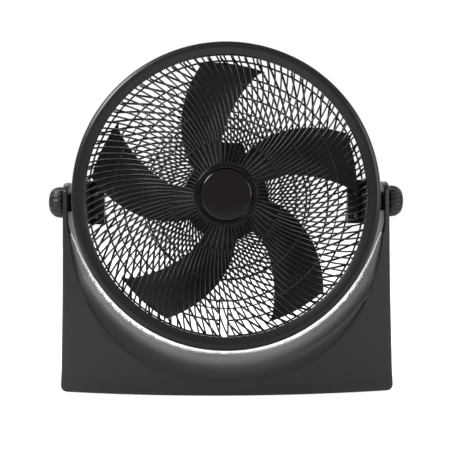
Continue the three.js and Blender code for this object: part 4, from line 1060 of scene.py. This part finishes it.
tower_foot = math.atan2(TOWER_X, math.sqrt(COVER_R ** 2 - TOWER_X ** 2))
tower_low = COVER_R * math.cos(tower_foot) + 2
body_arc = np.linspace(tower_foot + 0.02, 2 * np.pi - tower_foot - 0.02, 97)
cover_line = rounded([(COVER_R * math.sin(a), COVER_R * math.cos(a), 0) for a in body_arc] + [
    (-TOWER_X, tower_low, 2), (-TOWER_X, TOWER_TOP, 12), (TOWER_X, TOWER_TOP, 12),
    (TOWER_X, tower_low, 2)], 0, 8)
ahead = unit(np.roll(cover_line, -1, 0) - np.roll(cover_line, 1, 0))
inwards = np.stack([ahead[:, 1], -ahead[:, 0]], 1)


def soft_end(radius, start, steps):
    """Insets and depths that round the end of a body off, from a start depth backwards."""
    return [(radius * (1 - math.cos(a)), start + radius * math.sin(a))
            for a in np.linspace(0, math.pi / 2, steps)]


levels = [(0.8, COVER_FRONT), (0.25, COVER_FRONT + 0.25), (0, COVER_FRONT + 0.8), (0, COVER_FRONT + 12),
          (0, COVER_FRONT + 30)] + soft_end(5, COVER_BACK - 5, 8)
cover = layers([(cover_line + inwards * inset, depth) for inset, depth in levels])
housing = make_piece("control_housing", [cover], "head", bezel_plastic, ["control_cover"])
cut(housing, vent_plugs(COVER_BACK - 8, COVER_BACK + 3))

# %% Dial ring and ticks
TICK_IN, TICK_OUT, TICK_HALF, DIAL_SWEEP = 24.2, 28, 0.6, 135
dial = rounded([(20, COVER_BACK - 0.5), (22, COVER_BACK - 0.5), (22, COVER_BACK + 0.5, 0.3),
                (20, COVER_BACK + 0.5, 0.3)], 0.2)
surfaces = [turned(dial, 96, (0, -ORIGIN_DEPTH, SWITCH_Z), "y")]
for degrees in (0, 45, 90, 135):
    turn = math.radians(degrees - DIAL_SWEEP / 2)
    rows = []
    for lift, grow in ((-0.5, 0), (0.35, 0), (0.5, -0.15)):
        half = TICK_HALF + grow
        out = np.array([TICK_IN - grow, TICK_IN - grow, TICK_OUT + grow, TICK_OUT + grow])
        beside = np.array([half, -half, -half, half])
        rows.append(in_depth(out * math.sin(turn) + beside * math.cos(turn), COVER_BACK + lift,
                             SWITCH_Z + out * math.cos(turn) - beside * math.sin(turn)))
    surfaces.append(grid(rows))
make_piece("dial_ring", surfaces, "head", natural_plastic)

# %% Speed knob and cord gland
skirt = fluted([(0, 16.6, 0.3), (0.5, 17, 1), (4.6, 16.4, 1), (5.6, 15, 0.6), (6, 13, 0)], 24, 0.7, 6)
skirt = in_depth(skirt[..., 1], KNOB_BASE + skirt[..., 0], SWITCH_Z + skirt[..., 2])
bar_line = rounded([(-4, -13, 3), (4, -13, 3), (2.5, 14, 2), (-2.5, 14, 2)], 2, 6)
bar = layers([(bar_line * (1 - inset / np.array([4.5, 13])), KNOB_BASE + lift)
              for inset, lift in [(0, 5), (0, 13)] + soft_end(2, 14, 6)], SWITCH_Z)
make_piece("speed_knob_cap", [grid(skirt), bar], "speed_control", knob_plastic, ["speed_knob"])
pointer_line = np.array([(-0.5, 4), (0.5, 4), (0.5, 11), (-0.5, 11)])
pointer = layers([(pointer_line, KNOB_BASE + lift) for lift in (15.7, 16.15)], SWITCH_Z)
make_piece("knob_pointer", [pointer], "speed_control", natural_plastic)

GLAND_DEPTH = (COVER_FRONT + COVER_BACK) / 2
gland_profile = rounded([
    (3.6, -COVER_R - 5), (7, -COVER_R - 5, 1), (8, -COVER_R - 0.3, 0.8), (6, -COVER_R - 0.3, 0.3),
    (6, -COVER_R + 6.4, 0.5), (3.6, -COVER_R + 6.4, 0.5)], 0.6)
gland = turned(gland_profile, 48, (0, GLAND_DEPTH - ORIGIN_DEPTH, AXIS_HEIGHT), "z")
make_piece("cord_bushing", [gland], "head", rubber, ["cord_gland"])

# %% [markdown]
# ## The rest of the motor and controls
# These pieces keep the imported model's own shapes, which are right as they are. They only get finishes:
# a solid may be seen through the vents, or when somebody takes the fan apart.

# %% Finishes for the kept solids
nodes_of = {
    cast_metal: "motor_front_bell motor_rear_bell", sheet_steel: "stator_core rotor",
    copper_wire: "front_winding rear_winding", bearing_bronze: "front_bearing rear_bearing",
    turned_steel: "motor_shaft switch_spindle right_knob_stud left_knob_stud",
    natural_plastic: "speed_switch capacitor",
}
for finish, names in nodes_of.items():
    for name in names.split():
        for material_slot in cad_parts[name].material_slots:
            material_slot.material = finish
    print(finish.name, "on", names)

# %% [markdown]

# %% [markdown]
# ## Floor and light
# The picture is a studio shot on pure white. Behind the fan the surround is white, so thin parts stand
# out as outlines; in front it is dim, as a studio is behind the camera, so black plastic stays black.
# The camera sees floor and surround evenly lit; what they give off to the fan is kept lower.

# %% Floor
WHITE = (1, 1, 1, 1)


def seen_by_camera(tree, seen, given_off):
    """A strength that is one value where the camera looks and another where light falls on the fan."""
    return mixed(tree, "FLOAT", source(tree, "LightPath", "Is Camera Ray"), given_off, seen)


floor_mesh = bpy.data.meshes.new("floor")
floor_mesh.from_pydata([(-8, -6, 0), (8, -6, 0), (8, 10, 0), (-8, 10, 0)], [], [(0, 1, 2, 3)])
pale = bpy.data.materials.new("pale_floor")
pale.use_nodes = True
fill(pale.node_tree, pale.node_tree.nodes["Principled BSDF"], {
    "Base Color": (0.8, 0.8, 0.8, 1), "Roughness": 0.9, "Emission Color": WHITE,
    "Emission Strength": seen_by_camera(pale.node_tree, 0.9, 0.0)})
floor_mesh.materials.append(pale)
floor = new_object("floor", floor_mesh)
print("floor:", [round(v, 1) for v in floor.dimensions], "m")

# %% Surround
FRONT_GREY, BACK_WHITE = 0.34, 1.0
world = bpy.data.worlds.new("studio")
bpy.context.scene.world = world
world.use_nodes = True
sky = world.node_tree
fade = ramp(sky, axes_of(sky, "Generated")["Y"], -0.1, 0.8, FRONT_GREY, BACK_WHITE)
fill(sky, sky.nodes["Background"], {"Color": WHITE, "Strength": seen_by_camera(sky, 1.05, fade)})
bpy.context.scene.view_settings.view_transform = "Standard"
print("surround:", FRONT_GREY, "in front,", BACK_WHITE, "behind")

# %% [markdown]
# Soft lights do the rest. Two in front put the sheen on the ribs, the ring and the knobs, and one above
# the back draws the rims. The other four stand behind and light the dish's skin alone, past the head, as
# a photographer's flags would do it; only the base and the pivot blocks shade it. They run down the dish
# at a flat angle, draw the white line under the ring and let the dish fade from light to dark.

# %% Lights
def soft_light(name, place, target, size, power):
    data = bpy.data.lights.new(name, "AREA")
    data.shape, data.size, data.size_y, data.energy = "RECTANGLE", *size, power
    light = new_object(name, data)
    aim = (Vector(target) - Vector(place)).to_track_quat("-Z", "Y").to_matrix().to_4x4()
    light.matrix_world = Matrix.Translation(place) @ aim
    return light


soft_light("key_light", (-1.0, -1.0, 1.3), (0, 0, 0.25), (0.6, 0.6), 17)
soft_light("fill_light", (1.3, -1.0, 0.7), (0, 0, 0.25), (0.8, 0.8), 5)
soft_light("back_top_light", (-0.3, 0.9, 1.5), (0, 0, 0.3), (1.8, 0.8), 10)
behind = [soft_light("saddle_light", (0, 1.5, 0.65), (0, 0, 0.1), (1.8, 0.9), 14),
          soft_light("dish_light", (0, 1.1, 1.2), (0, 0, 0.1), (2.0, 1.0), 175)]
for side, name in SIDES[::-1]:
    behind.append(soft_light(f"{name}_dish_light", (side * 1.05, 0.75, 1.2), (side * -0.25, 0, 0.15),
                             (1.2, 1.2), 130))
lit = bpy.data.collections.new("lit_past_the_head")
shading = bpy.data.collections.new("shading_the_dish")
lit.objects.link(bpy.data.objects["base_dish"])
for name in ("base_dish", "base_front", "base_rear", "right_block", "left_block"):
    shading.objects.link(bpy.data.objects[name])
for light in behind:
    light.light_linking.receiver_collection = lit
    light.light_linking.blocker_collection = shading
print("lights:", len(bpy.data.lights))
